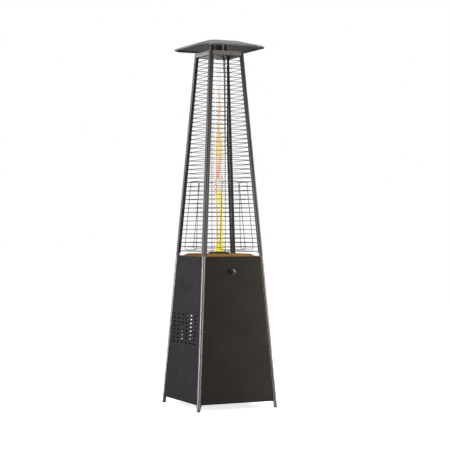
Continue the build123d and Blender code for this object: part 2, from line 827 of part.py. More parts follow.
def local_rod(radius, low, high):
    """Round piece along the control's axis."""
    return Pos(0, 0, low) * extrude(Circle(radius), high - low)


outlet_radius = manifold_radius + running_gap
valve_outline = RectangleRounded(valve_width, valve_tall, valve_corner)
valve_body = Pos(0, 0, valve_back) * extrude(valve_outline, valve_length)
valve_body += local_rod(valve_neck_radius, body_front - overcut, neck_top)
valve_body -= local_rod(neck_bore, plug_low, neck_top + overcut)
valve_body -= local_rod(outlet_radius, valve_back - overcut, valve_back + port_depth + 2)
inlet_plane = Plane(origin=(0, 0, valve_back + valve_width / 2), x_dir=(1, 0, 0), z_dir=(0, -1, 0))
valve_body -= inlet_plane * local_rod(inlet_bore + 1, 0, valve_tall)
port_drill = local_rod(port_radius + running_gap, valve_back - overcut, valve_back + port_depth)
for x, y in (pilot_port, thermo_port):
    valve_body -= Pos(x, y, 0) * port_drill
save("valve_body", valve_plane * valve_body)

inlet_end = inlet_collar_height + inlet_length
inlet = local_rod(inlet_collar_radius, 0, inlet_collar_height) + local_rod(inlet_radius, 0, inlet_end)
inlet -= local_rod(inlet_bore, -overcut, inlet_end + overcut)
save("gas_inlet", valve_plane * inlet_plane * Pos(0, 0, valve_tall / 2) * inlet)

bracket_outline = RectangleRounded(bracket_width, bracket_tall, bracket_corner)
bracket = Pos(0, 0, body_front) * extrude(bracket_outline, bracket_wall)
bracket -= local_rod(stem_hole_radius, body_front - overcut, overcut)
save("valve_bracket", valve_plane * bracket)

stem_bore = d_outline(stem_radius + running_gap, stem_flat + running_gap)
plug = local_rod(plug_radius, plug_low + seat_gap, plug_high)
plug -= Pos(0, 0, bore_low) * extrude(stem_bore, plug_high - bore_low + overcut)
port_plane = Plane(origin=(0, 0, (plug_low + bore_low) / 2), x_dir=(0, 0, 1), z_dir=(0, -1, 0))
plug -= port_plane * local_rod(1, 0, plug_radius + overcut)
save("valve_plug", valve_plane * plug)

valve_cap = local_rod(neck_bore - running_gap / 2, cap_low, neck_top)
valve_cap -= local_rod(stem_radius + 2 * running_gap, cap_low - overcut, neck_top + overcut)
save("valve_cap", valve_plane * valve_cap)

stem = Pos(0, 0, stem_low) * extrude(d_outline(stem_radius, stem_flat), stem_high - stem_low)
stem += local_rod(stem_radius, plug_high + knob_travel + overcut, knob_low - seat_gap)
stem += local_rod(plug_radius - moving_gap, collar_low, collar_high)
save("valve_stem", valve_plane * stem)

coil_radius = (stem_radius + plug_radius) / 2
coil_room = collar_low - plug_high - 2 * spring_wire - 2 * coil_gap
coil_path = Helix(pitch=coil_room / spring_turns, height=coil_room, radius=coil_radius)
coil_start = Plane(origin=coil_path @ 0, z_dir=coil_path % 0)
coil = sweep(coil_start * Circle(spring_wire), path=coil_path, is_frenet=True)
save("stem_spring", valve_plane * Pos(0, 0, plug_high + spring_wire + coil_gap) * coil)

bezel = local_rod(bezel_radius, 0, bezel_height)
bezel = chamfer(bezel.edges().group_by(Axis.Z)[-1], knob_chamfer)
bezel -= local_rod(stem_hole_radius + seat_gap, -overcut, bezel_height + overcut)
save("knob_bezel", valve_plane * bezel)

knob = local_rod(knob_radius, knob_low, knob_low + knob_skirt)
knob = chamfer(knob.edges().group_by(Axis.Z)[-1], knob_chamfer)
grip = local_rod(knob_grip_radius, knob_low + knob_skirt, knob_high)
knob += chamfer(grip.edges().group_by(Axis.Z)[-1], knob_chamfer)
flute = local_rod(flute_radius, knob_low + knob_skirt + overcut, knob_high + overcut)
for i in range(knob_flutes):
    knob -= Rot(0, 0, (i + 0.5) * 360 / knob_flutes) * Pos(knob_grip_radius + flute_offset, 0, 0) * flute
knob -= Pos(0, 0, knob_low - overcut) * extrude(stem_bore, stem_high - knob_low + overcut + running_gap)
save("control_knob", valve_plane * knob)

piezo_x = valve_width / 2 + piezo_radius + piezo_room
piezo_end = body_front - piezo_length
tag_end = piezo_end - piezo_tag_length
piezo = local_rod(piezo_radius, piezo_end, body_front)
piezo += local_rod(piezo_tag_radius, tag_end, piezo_end + overcut)
save("piezo_igniter", valve_plane * Pos(piezo_x, 0, 0) * piezo)

# ------------------------------------------------------------------ burner under the deck
pot_top = raise_top - deck_wall
pot_low = pot_top - pot_depth
pilot_slot_half = pilot_pitch + pilot_room - probe_radius - overcut
pot = ring(pot_radius, pot_radius - pot_wall, pot_low, pot_top)
pot += rod(pot_radius, pot_low, pot_low + pot_wall)
pot += ring(deck_hole_radius + pot_flange, pot_radius - pot_wall, pot_top - pot_wall, pot_top)
pot -= rod(venturi_radius + running_gap, pot_low - overcut, pot_low + pot_wall + overcut)
slot_inner, slot_outer = pilot_x - pilot_shelf / 2, pilot_x + pilot_shelf / 2 + pot_wall
pilot_slot = box_outline(slot_inner, -pilot_slot_half, slot_outer, pilot_slot_half)
pot -= Pos(0, 0, pot_top - pot_wall - overcut) * extrude(pilot_slot, pot_wall + 2 * overcut)
save("burner_pot", pot)

screen_radius = pot_radius - pot_wall - seat_gap
screen_high = pot_top - screen_drop
screen = rod(screen_radius, screen_high - screen_wall, screen_high)
screen += ring(screen_radius, screen_radius - screen_wall, screen_high - screen_skirt, screen_high)
screen_drill = rod(screen_hole_radius, screen_high - screen_wall - overcut, screen_high + overcut)
for ring_index in range(1, screen_rings + 1):
    holes = 6 * ring_index
    for i in range(holes):
        screen -= Rot(0, 0, i * 360 / holes) * Pos(ring_index * screen_ring_pitch, 0, 0) * screen_drill
save("flame_screen", screen)

venturi_top = pot_low + venturi_depth
venturi_low = venturi_top - venturi_length
venturi = ring(venturi_radius, venturi_radius - venturi_wall, venturi_low, venturi_top)
air_plane = Plane(origin=(0, 0, venturi_low + air_slot_length), x_dir=(0, 1, 0), z_dir=(1, 0, 0))
air_outline = SlotOverall(air_slot_length, air_slot_width, rotation=90)
air_slot = extrude(air_plane * air_outline, venturi_radius + overcut)
for i in range(4):
    venturi -= Rot(0, 0, 45 + 90 * i) * air_slot
save("venturi_tube", venturi)

strap_high = venturi_low - overcut
strap_low = strap_high - strap_wall
orifice_tip = venturi_low + 5
orifice_high = strap_low - running_gap
orifice_low = orifice_high - orifice_length
orifice = rod(orifice_radius, orifice_low, orifice_high)
orifice += rod(orifice_tip_radius, orifice_low, orifice_tip)
orifice -= rod(manifold_radius + running_gap, orifice_low - overcut, orifice_low + orifice_socket)
orifice -= rod(jet_radius, orifice_low, orifice_tip + overcut)
save("orifice_holder", orifice)

leg_x = pot_radius - 5
strap_half = leg_x + strap_wall
strap = Pos(0, 0, strap_low) * extrude(Rectangle(2 * strap_half, strap_width), strap_wall)
for side in (-1, 1):
    leg = Rectangle(strap_wall, strap_width)
    strap += Pos(side * (leg_x + strap_wall / 2), 0, strap_low) * extrude(leg, pot_low - strap_low)
    tab = Rectangle(strap_tab, strap_width)
    strap += Pos(side * (strap_half - strap_tab / 2), 0, pot_low - strap_wall) * extrude(tab, strap_wall)
strap -= rod(orifice_tip_radius + seat_gap, strap_low - overcut, strap_high + overcut)
save("burner_bracket", strap)

manifold = tube(
    [
        on_valve(0, 0, valve_back + port_depth),
        on_valve(0, 0, valve_back - 26),
        (0, -60, orifice_low - 22),
        (0, 0, orifice_low - 22),
        (0, 0, orifice_low + orifice_socket - 1),
    ],
    manifold_bends,
    manifold_radius,
    manifold_radius - manifold_wall,
)
save("manifold_tube", manifold)

# ------------------------------------------------------------------ pilot, thermocouple and igniter
pilot_bracket_z = pot_top - 18
shelf = box_outline(-pilot_shelf / 2, -pilot_slot_half, pilot_shelf / 2, pilot_slot_half)
upright = box_outline(pilot_shelf / 2, -pilot_slot_half, pilot_shelf / 2 + pot_wall, pilot_slot_half)
pilot_bracket = extrude(shelf, strap_wall) + extrude(upright, pot_top - pilot_bracket_z)
pilot_bracket = Pos(pilot_x, 0, pilot_bracket_z) * pilot_bracket
probe_hole_radius = probe_radius + running_gap
pilot_hole_radius = pilot_radius + seat_gap
for y, radius in ((0, pilot_hole_radius), (-pilot_pitch, probe_hole_radius), (pilot_pitch, probe_hole_radius)):
    drill = rod(radius, pilot_bracket_z - overcut, pilot_bracket_z + strap_wall + overcut)
    pilot_bracket -= Pos(pilot_x, y, 0) * drill
save("pilot_bracket", pilot_bracket)

pilot_low = pilot_bracket_z - 8
pilot_high = pot_top + 6
pilot_burner = rod(pilot_radius, pilot_low, pilot_high)
pilot_burner += rod(pilot_hood_radius, pilot_bracket_z + strap_wall, pilot_high - 3)
pilot_burner -= rod(pilot_bore, pilot_low - overcut, pilot_high - 1)
save("pilot_burner", Pos(pilot_x, 0, 0) * pilot_burner)

tip = Pos(pilot_x, -pilot_pitch, 0) * rod(probe_radius, pilot_low - 4, pilot_high + 6)
thermo_lead = wire(
    [
        (pilot_x, -pilot_pitch, pilot_low - 3),
        (pilot_x, -pilot_pitch, pot_low - 18),
        (22, -90, pot_low - 30),
        on_valve(*thermo_port, valve_back - 24),
        on_valve(*thermo_port, valve_back + port_depth - 1),
    ],
    lead_bends,
    thermo_lead_radius,
)
save("thermocouple", tip + thermo_lead)

pilot_tube = tube(
    [
        (pilot_x, 0, pilot_low),
        (pilot_x, 0, pot_low - 10),
        (pot_radius - pilot_tube_turn, -50, pot_low - 16),
        on_valve(*pilot_port, valve_back - 24),
        on_valve(*pilot_port, valve_back + port_depth - 1),
    ],
    lead_bends,
    port_radius,
    port_radius - tube_wall,
)
save("pilot_tube", pilot_tube)

electrode_low = pilot_bracket_z - 12
electrode = rod(probe_radius, electrode_low, pilot_high - 2)
electrode += rod(electrode_radius, electrode_low, pilot_high + 5)
electrode = Pos(pilot_x, pilot_pitch, 0) * electrode
save("igniter_electrode", electrode)
igniter_lead = wire(
    [
        (pilot_x, pilot_pitch, electrode_low),
        (pilot_x, pilot_pitch, pot_low - 2),
        (58, -30, pot_low - 6),
        on_valve(piezo_x, 0, tag_end - 32),
        on_valve(piezo_x, 0, tag_end),
    ],
    lead_bends,
    igniter_lead_radius,
)
save("igniter_lead", igniter_lead)
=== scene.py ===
"""Gas patio heater: finishes, wire guards, fasteners, control marks, flame and studio.

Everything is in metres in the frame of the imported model: the origin is on the floor under the
middle of the heater, Z is up and the front faces -Y. Sizes that the model fixes are read from it.
"""
import json
import math
import random

import bmesh
import bpy
import numpy as np
from bpy.props import FloatProperty, FloatVectorProperty, IntProperty, PointerProperty
from bpy.types import Operator, Panel, PropertyGroup
from mathutils import Matrix, Vector


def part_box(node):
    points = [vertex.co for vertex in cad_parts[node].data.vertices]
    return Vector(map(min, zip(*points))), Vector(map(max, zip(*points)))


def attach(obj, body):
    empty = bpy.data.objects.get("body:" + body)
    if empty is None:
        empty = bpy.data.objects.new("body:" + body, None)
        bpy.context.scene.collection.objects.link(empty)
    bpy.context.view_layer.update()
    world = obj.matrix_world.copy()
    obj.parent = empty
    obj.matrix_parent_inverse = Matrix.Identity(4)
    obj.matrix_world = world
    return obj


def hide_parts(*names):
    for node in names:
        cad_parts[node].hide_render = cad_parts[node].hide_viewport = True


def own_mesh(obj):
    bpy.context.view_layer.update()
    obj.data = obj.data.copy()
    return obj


bl_info = {
    "name": "Patio heater finish",
    "version": (1, 0, 0),
    "blender": (4, 5, 0),
    "location": "3D View > Sidebar > Heater",
    "description": "Finishes, wire guards, fasteners, flame and studio of a gas patio heater",
    "category": "Object",
}

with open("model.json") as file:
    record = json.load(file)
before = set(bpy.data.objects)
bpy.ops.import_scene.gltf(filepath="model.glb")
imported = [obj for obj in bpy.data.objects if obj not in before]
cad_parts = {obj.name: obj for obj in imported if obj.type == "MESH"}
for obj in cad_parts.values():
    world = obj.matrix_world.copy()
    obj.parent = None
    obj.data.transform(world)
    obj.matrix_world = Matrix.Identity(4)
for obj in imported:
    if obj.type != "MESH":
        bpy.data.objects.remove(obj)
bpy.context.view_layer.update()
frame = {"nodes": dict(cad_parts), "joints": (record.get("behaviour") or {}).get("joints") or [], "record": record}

# ------------------------------------------------------------------ places read from the model
FOOT_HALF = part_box("foot_caps")[1].x
TOP_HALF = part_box("top_plate")[1].x
FRAME_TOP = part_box("top_plate")[1].z
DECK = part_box("front_panel")[1].z
DECK_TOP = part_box("deck")[1].z
LEAN_TANGENT = (FOOT_HALF - TOP_HALF) / FRAME_TOP
GUARD_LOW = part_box("guard_front")[0].z
GUARD_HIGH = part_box("guard_front")[1].z
SEAT_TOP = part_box("glass_seat_ring")[1].z
HOOD_LOW, HOOD_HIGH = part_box("hood")
KNOB = next(joint for joint in frame["joints"] if joint["name"] == "knob_turn")
FACE_TURNS = {"front": 0, "right": 90, "rear": 180, "left": -90}

# ------------------------------------------------------------------ camera
VIEW_ANGLE = math.radians(25.786)
CAMERA_DISTANCE = 8.5113
CAMERA_HEIGHT = 1.1253
CAMERA_SIDE = 0.0376
CAMERA_LENS = 108.76


def half_width(z):
    """Half of the frame's outer width at a height."""
    return FOOT_HALF - z * LEAN_TANGENT


def view_right():
    """Level direction to the right, as seen from the camera."""
    return Vector((math.cos(VIEW_ANGLE), -math.sin(VIEW_ANGLE), 0))


def view_deep():
    """Level direction away from the camera."""
    return Vector((math.sin(VIEW_ANGLE), math.cos(VIEW_ANGLE), 0))


# ------------------------------------------------------------------ sizes and colours to change
class HeaterSizes(PropertyGroup):
    """Sizes of the pieces that are added to the model."""

    wire_radius: FloatProperty(
        name="Wire radius", description="Radius of the guard's wires",
        default=0.0018, subtype="DISTANCE",
    )
    wire_pitch: FloatProperty(
        name="Wire pitch", description="Height from one level wire to the next",
        default=0.02695, subtype="DISTANCE",
    )
    wire_rise: FloatProperty(
        name="Wire rise", description="Lowest wire above the deck",
        default=0.0293, subtype="DISTANCE",
    )
    wire_depth: FloatProperty(
        name="Wire depth", description="Wires behind the frame's outer face",
        default=0.011, subtype="DISTANCE",
    )
    wire_count: IntProperty(name="Wires", description="Level wires in one guard", default=46, min=2)
    flange_width: FloatProperty(
        name="Flange", description="Width of a post's flange from its corner",
        default=0.028, subtype="DISTANCE",
    )
    rail_wall: FloatProperty(
        name="Rail wall", description="Thickness of a guard's rail",
        default=0.0015, subtype="DISTANCE",
    )
    loop_low: FloatProperty(
        name="Loop foot", description="Loop's lower wire above the deck",
        default=0.041, subtype="DISTANCE",
    )
    loop_high: FloatProperty(
        name="Loop top", description="Loop's upper wire above the deck",
        default=0.463, subtype="DISTANCE",
    )
    loop_margin: FloatProperty(
        name="Loop margin", description="Loop's side from the frame's corner",
        default=0.1165, subtype="DISTANCE",
    )
    loop_corner: FloatProperty(
        name="Loop corner", description="Radius of the loop's corners",
        default=0.011, subtype="DISTANCE",
    )
    weld_radius: FloatProperty(
        name="Weld", description="Radius of a weld where two wires cross",
        default=0.0025, subtype="DISTANCE",
    )
    recess_width: FloatProperty(
        name="Recess", description="Width of a screw's cross recess",
        default=0.0036, subtype="DISTANCE",
    )
    rivet_radius: FloatProperty(
        name="Rivet", description="Radius of a rivet's head on the hood",
        default=0.0035, subtype="DISTANCE",
    )
    flame_height: FloatProperty(
        name="Flame height", description="Height of the flame above its seat",
        default=1.06, subtype="DISTANCE",
    )


class HeaterColours(PropertyGroup):
    """Colours of the finishes."""

    bright_steel: FloatVectorProperty(
        name="Bright steel", description="Brushed steel of the lower posts",
        default=(0.27, 0.26, 0.245), subtype="COLOR",
    )
    # Painted shade: a darker copy of the post steel that stands in for the upper posts' dark reflections.
    painted_shade_steel: FloatVectorProperty(
        name="Dark steel", description="Heat-toned steel of the upper posts",
        default=(0.115, 0.103, 0.100), subtype="COLOR",
    )
    powder_coat: FloatVectorProperty(
        name="Powder coat", description="Matte coat of the cabinet",
        default=(0.0105, 0.0091, 0.0080), subtype="COLOR",
    )
    wire: FloatVectorProperty(
        name="Wire", description="Coat of the guards' wires",
        default=(0.014, 0.0125, 0.012), subtype="COLOR",
    )
    hood: FloatVectorProperty(
        name="Hood", description="Brushed steel of the hood",
        default=(0.21, 0.217, 0.222), subtype="COLOR",
    )
    deck: FloatVectorProperty(
        name="Deck", description="Heat-toned steel of the deck",
        default=(0.34, 0.19, 0.055), subtype="COLOR",
    )
    flame: FloatVectorProperty(
        name="Flame", description="Brightest part of the flame",
        default=(1.0, 0.82, 0.02), subtype="COLOR",
    )


def sizes():
    """The sizes as set in the scene."""
    return bpy.context.scene.heater_sizes


def colours():
    """The colours as set in the scene."""
    return bpy.context.scene.heater_colours


# ------------------------------------------------------------------ node helpers
def add(tree, kind, **values):
    """New node in a tree, with its properties set."""
    node = tree.nodes.new(kind)
    for name, value in values.items():
        setattr(node, name, value)
    return node


def join(tree, source, target):
    """Link an output socket to an input socket, or set the input to a plain value."""
    if isinstance(source, bpy.types.NodeSocket):
        tree.links.new(source, target)
    else:
        target.default_value = source


def math_node(tree, operation, *values, clamp=False):
    """Math node on sockets or numbers; returns its output."""
    node = add(tree, "ShaderNodeMath", operation=operation, use_clamp=clamp)
    for socket, value in zip(node.inputs, values):
        join(tree, value, socket)
    return node.outputs[0]


def combined(tree, x, y, z):
    """Vector of three sockets or numbers."""
    node = add(tree, "ShaderNodeCombineXYZ")
    for socket, value in zip(node.inputs, (x, y, z)):
        join(tree, value, socket)
    return node.outputs[0]


def separated(tree, vector):
    """The X, Y and Z of a vector."""
    node = add(tree, "ShaderNodeSeparateXYZ")
    join(tree, vector, node.inputs[0])
    return node.outputs


def scaled(tree, vector, factors):
    """Vector multiplied by another, part by part."""
    node = add(tree, "ShaderNodeVectorMath", operation="MULTIPLY")
    join(tree, vector, node.inputs[0])
    join(tree, factors, node.inputs[1])
    return node.outputs[0]


def noise(tree, vector, scale, detail=3.0, roughness=0.55):
    """Noise texture on a vector; returns its value."""
    node = add(tree, "ShaderNodeTexNoise")
    node.inputs["Scale"].default_value = scale
    node.inputs["Detail"].default_value = detail
    node.inputs["Roughness"].default_value = roughness
    join(tree, vector, node.inputs["Vector"])
    return node.outputs["Fac"]


def mapped(tree, value, low, high, to_low, to_high):
    """Value moved from one range to another and kept inside it."""
    node = add(tree, "ShaderNodeMapRange")
    join(tree, value, node.inputs["Value"])
    for name, number in zip(("From Min", "From Max", "To Min", "To Max"), (low, high, to_low, to_high)):
        node.inputs[name].default_value = number
    return node.outputs["Result"]


def blended(tree, factor, first, second):
    """Mix of two colours, each a socket or a tuple."""
    node = add(tree, "ShaderNodeMix", data_type="RGBA")
    join(tree, factor, node.inputs["Factor"])
    for socket, value in ((node.inputs[6], first), (node.inputs[7], second)):
        plain = not isinstance(value, bpy.types.NodeSocket)
        join(tree, (*value, 1) if plain else value, socket)
    return node.outputs[2]


def ramp(tree, factor, stops):
    """Colour ramp through (position, colour) stops."""
    node = add(tree, "ShaderNodeValToRGB")
    elements = node.color_ramp.elements
    while len(elements) < len(stops):
        elements.new(0.5)
    for element, (position, colour) in zip(elements, stops):
        element.position = position
        element.color = (*colour, 1)
    join(tree, factor, node.inputs["Fac"])
    return node.outputs["Color"]


def node_group(name, kind, inputs, outputs):
    """Empty node group with named sockets, and its input and output nodes."""
    tree = bpy.data.node_groups.new(name, kind)
    for label, socket, default in inputs:
        made = tree.interface.new_socket(label, in_out="INPUT", socket_type=socket)
        if default is not None:
            made.default_value = default
    for label, socket in outputs:
        tree.interface.new_socket(label, in_out="OUTPUT", socket_type=socket)
    return tree, add(tree, "NodeGroupInput").outputs, add(tree, "NodeGroupOutput").inputs


def built_once(name, make):
    """Node group of that name, made the first time that it is asked for."""
    return bpy.data.node_groups.get(name) or make(name)


def seen_directly(tree):
    """1 for rays that come from the camera, also through glass, and 0 for all others."""
    rays = add(tree, "ShaderNodeLightPath").outputs
    return math_node(tree, "MAXIMUM", rays["Is Camera Ray"], rays["Is Transmission Ray"])


# ------------------------------------------------------------------ shared surface effects
def brushed_grain(name):
    """Fine streaks along one direction, as left by a brushing belt."""
    sockets = [("Vector", "NodeSocketVector", None), ("Stretch", "NodeSocketVector", (900.0, 900.0, 14.0))]
    tree, given, result = node_group(name, "ShaderNodeTree", sockets, [("Streak", "NodeSocketFloat")])
    stretched = scaled(tree, given["Vector"], given["Stretch"])
    join(tree, noise(tree, stretched, 1.0, 4.0, 0.65), result["Streak"])
    return tree


def powder_coat(name):
    """Orange-peel skin of a baked powder coat, with a faint change of tone."""
    sockets = [("Vector", "NodeSocketVector", None), ("Grain", "NodeSocketFloat", 900.0)]
    outputs = [("Height", "NodeSocketFloat"), ("Tone", "NodeSocketFloat")]
    tree, given, result = node_group(name, "ShaderNodeTree", sockets, outputs)
    peel = add(tree, "ShaderNodeTexVoronoi", feature="SMOOTH_F1")
    join(tree, given["Vector"], peel.inputs["Vector"])
    join(tree, given["Grain"], peel.inputs["Scale"])
    fine = noise(tree, given["Vector"], 2600.0, 2.0)
    join(tree, math_node(tree, "ADD", peel.outputs["Distance"], fine), result["Height"])
    cloud = noise(tree, given["Vector"], 5.0, 5.0, 0.6)
    join(tree, mapped(tree, cloud, 0.3, 0.7, 0.0, 1.0), result["Tone"])
    return tree


def worn_edge(name):
    """Mask of outer edges, broken up, where handling rubs a finish."""
    sockets = [("Vector", "NodeSocketVector", None), ("Width", "NodeSocketFloat", 0.0015)]
    tree, given, result = node_group(name, "ShaderNodeTree", sockets, [("Mask", "NodeSocketFloat")])
    rounded = add(tree, "ShaderNodeBevel", samples=4)
    join(tree, given["Width"], rounded.inputs["Radius"])
    surface = add(tree, "ShaderNodeNewGeometry")
    same = add(tree, "ShaderNodeVectorMath", operation="DOT_PRODUCT")
    join(tree, rounded.outputs["Normal"], same.inputs[0])
    join(tree, surface.outputs["Normal"], same.inputs[1])
    edge = math_node(tree, "SUBTRACT", 1.0, same.outputs["Value"])
    broken = mapped(tree, noise(tree, given["Vector"], 60.0, 6.0, 0.7), 0.38, 0.62, 0.0, 1.0)
    strength = mapped(tree, edge, 0.04, 0.22, 0.0, 1.0)
    join(tree, math_node(tree, "MULTIPLY", strength, broken, clamp=True), result["Mask"])
    return tree


def dust_and_smudges(name):
    """Dust on faces that look up, and faint smudges everywhere."""
    sockets = [("Vector", "NodeSocketVector", None), ("Amount", "NodeSocketFloat", 0.5)]
    outputs = [("Dust", "NodeSocketFloat"), ("Smudge", "NodeSocketFloat")]
    tree, given, result = node_group(name, "ShaderNodeTree", sockets, outputs)
    normal = add(tree, "ShaderNodeNewGeometry").outputs["Normal"]
    upward = mapped(tree, separated(tree, normal)["Z"], 0.35, 0.95, 0.0, 1.0)
    patchy = mapped(tree, noise(tree, given["Vector"], 38.0, 7.0, 0.7), 0.35, 0.75, 0.0, 1.0)
    dust = math_node(tree, "MULTIPLY", upward, patchy)
    join(tree, math_node(tree, "MULTIPLY", dust, given["Amount"]), result["Dust"])
    smear = noise(tree, given["Vector"], 9.0, 6.0, 0.65)
    join(tree, mapped(tree, smear, 0.32, 0.7, 0.0, 1.0), result["Smudge"])
    return tree


def heat_tint(name):
    """Oxide colours of heated steel, from cold at 0 to hot at 1."""
    sockets = [("Vector", "NodeSocketVector", None), ("Heat", "NodeSocketFloat", 0.0)]
    outputs = [("Colour", "NodeSocketColor"), ("Amount", "NodeSocketFloat")]
    tree, given, result = node_group(name, "ShaderNodeTree", sockets, outputs)
    waver = math_node(tree, "MULTIPLY_ADD", noise(tree, given["Vector"], 22.0, 4.0, 0.6), 0.3, -0.15)
    shifted = math_node(tree, "ADD", given["Heat"], waver)
    stops = [
        (0.0, (0.34, 0.22, 0.09)),
        (0.35, (0.36, 0.17, 0.04)),
        (0.62, (0.20, 0.07, 0.05)),
        (0.85, (0.07, 0.07, 0.14)),
    ]
    join(tree, ramp(tree, shifted, stops), result["Colour"])
    join(tree, mapped(tree, shifted, 0.02, 0.4, 0.0, 1.0), result["Amount"])
    return tree


EFFECTS = {
    "Brushed grain": brushed_grain,
    "Powder coat": powder_coat,
    "Worn edge": worn_edge,
    "Dust and smudges": dust_and_smudges,
    "Heat tint": heat_tint,
}


def effect(tree, name, vector, **values):
    """A shared effect placed in a material; returns its outputs."""
    node = add(tree, "ShaderNodeGroup", node_tree=built_once(name, EFFECTS[name]))
    join(tree, vector, node.inputs["Vector"])
    for label, value in values.items():
        join(tree, value, node.inputs[label])
    return node.outputs


# ------------------------------------------------------------------ materials
def new_material(name):
    """Material with its node tree, its shader and its object coordinates."""
    material = bpy.data.materials.new(name)
    material.use_nodes = True
    tree = material.node_tree
    shader = tree.nodes["Principled BSDF"]
    place = add(tree, "ShaderNodeTexCoord").outputs["Object"]
    return material, tree, shader, place


def bumped(tree, shader, height, strength, distance):
    """Small relief from a height value."""
    bump = add(tree, "ShaderNodeBump")
    bump.inputs["Strength"].default_value = strength
    bump.inputs["Distance"].default_value = distance
    join(tree, height, bump.inputs["Height"])
    join(tree, bump.outputs["Normal"], shader.inputs["Normal"])


def brushed_metal(
    name, colour, rough=(0.24, 0.42), stretch=(900.0, 900.0, 14.0), dark=0.72, dust=0.25, metallic=1.0
):
    """Brushed metal: streaks in tone, roughness and relief, smudges and a little dust."""
    material, tree, shader, place = new_material(name)
    streak = effect(tree, "Brushed grain", place, Stretch=stretch)["Streak"]
    film = effect(tree, "Dust and smudges", place, Amount=dust)
    tone = mapped(tree, streak, 0.3, 0.7, 0.0, 1.0)
    deep = tuple(channel * dark for channel in colour)
    metal = blended(tree, tone, deep, tuple(colour))
    dusty = blended(tree, film["Dust"], metal, (0.42, 0.39, 0.35))
    join(tree, dusty, shader.inputs["Base Color"])
    worn = math_node(tree, "MULTIPLY_ADD", film["Smudge"], 0.35, streak)
    join(tree, mapped(tree, worn, 0.35, 0.95, *rough), shader.inputs["Roughness"])
    shader.inputs["Metallic"].default_value = metallic
    bumped(tree, shader, streak, 0.2, 0.00004)
    return material, tree, shader, place, dusty


def painted_metal(name, colour, rough=(0.48, 0.62), relief=0.35, dust=0.35):
    """Powder-coated sheet: orange peel, worn outer edges, smudges and dust."""
    material, tree, shader, place = new_material(name)
    skin = effect(tree, "Powder coat", place, Grain=900.0)
    film = effect(tree, "Dust and smudges", place, Amount=dust)
    rubbed = effect(tree, "Worn edge", place, Width=0.0012)["Mask"]
    light = tuple(channel * 1.22 + 0.002 for channel in colour)
    coat = blended(tree, skin["Tone"], tuple(colour), light)
    used = blended(tree, math_node(tree, "MULTIPLY", rubbed, 0.55), coat, (0.16, 0.155, 0.15))
    dusty = blended(tree, math_node(tree, "MULTIPLY", film["Dust"], 0.4), used, (0.30, 0.28, 0.25))
    join(tree, dusty, shader.inputs["Base Color"])
    join(tree, mapped(tree, film["Smudge"], 0.0, 1.0, *rough), shader.inputs["Roughness"])
    shader.inputs["Specular IOR Level"].default_value = 0.15
    bumped(tree, shader, skin["Height"], relief, 0.00012)
    return material


def heated(tree, shader, place, base, heat):
    """Lay heat tint over a metal's colour where the heat value is high."""
    tint = effect(tree, "Heat tint", place, Heat=heat)
    join(tree, blended(tree, tint["Amount"], base, tint["Colour"]), shader.inputs["Base Color"])


def height_of(tree, place):
    """Height of a place, its Z."""
    return separated(tree, place)["Z"]


def radius_of(tree, place):
    """Distance from the heater's axis."""
    length = add(tree, "ShaderNodeVectorMath", operation="LENGTH")
    join(tree, scaled(tree, place, (1, 1, 0)), length.inputs[0])
    return length.outputs["Value"]


def moulded(name, colour, rough=(0.38, 0.55), relief=0.2):
    """Moulded plastic or rubber with a fine spark-eroded skin."""
    material, tree, shader, place = new_material(name)
    skin = effect(tree, "Powder coat", place, Grain=1400.0)
    film = effect(tree, "Dust and smudges", place, Amount=0.4)
    light = tuple(channel * 1.35 + 0.004 for channel in colour)
    toned = blended(tree, skin["Tone"], tuple(colour), light)
    dusty = blended(tree, math_node(tree, "MULTIPLY", film["Dust"], 0.35), toned, (0.25, 0.24, 0.22))
    join(tree, dusty, shader.inputs["Base Color"])
    join(tree, mapped(tree, film["Smudge"], 0.0, 1.0, *rough), shader.inputs["Roughness"])
    bumped(tree, shader, skin["Height"], relief, 0.0001)
    return material


def clear_glass():
    """Borosilicate tube: clear, with a faint smoke film low down; shadow rays pass through it."""
    material, tree, shader, place = new_material("borosilicate_glass")
    shader.inputs["Transmission Weight"].default_value = 1.0
    shader.inputs["IOR"].default_value = 1.47
    smear = noise(tree, place, 14.0, 5.0, 0.6)
    join(tree, mapped(tree, smear, 0.35, 0.8, 0.0, 0.01), shader.inputs["Roughness"])
    film = mapped(tree, height_of(tree, place), DECK_TOP, DECK_TOP + 0.12, 1.0, 0.0)
    join(tree, blended(tree, film, (0.985, 0.99, 0.985), (0.93, 0.91, 0.87)), shader.inputs["Base Color"])
    rays = add(tree, "ShaderNodeLightPath")
    through = add(tree, "ShaderNodeBsdfTransparent")
    mix = add(tree, "ShaderNodeMixShader")
    join(tree, rays.outputs["Is Shadow Ray"], mix.inputs["Fac"])
    join(tree, shader.outputs["BSDF"], mix.inputs[1])
    join(tree, through.outputs["BSDF"], mix.inputs[2])
    join(tree, mix.outputs["Shader"], tree.nodes["Material Output"].inputs["Surface"])
    return material


def woven_tape():
    """Woven glass-fibre tape of the gasket."""
    material, tree, shader, place = new_material("woven_gasket")
    weave = add(tree, "ShaderNodeTexWave", wave_type="BANDS", bands_direction="DIAGONAL")
    weave.inputs["Scale"].default_value = 420.0
    weave.inputs["Distortion"].default_value = 1.5
    join(tree, place, weave.inputs["Vector"])
    cloth = blended(tree, weave.outputs["Fac"], (0.36, 0.33, 0.28), (0.62, 0.58, 0.50))
    join(tree, cloth, shader.inputs["Base Color"])
    shader.inputs["Roughness"].default_value = 0.9
    bumped(tree, shader, weave.outputs["Fac"], 0.6, 0.0004)
    return material


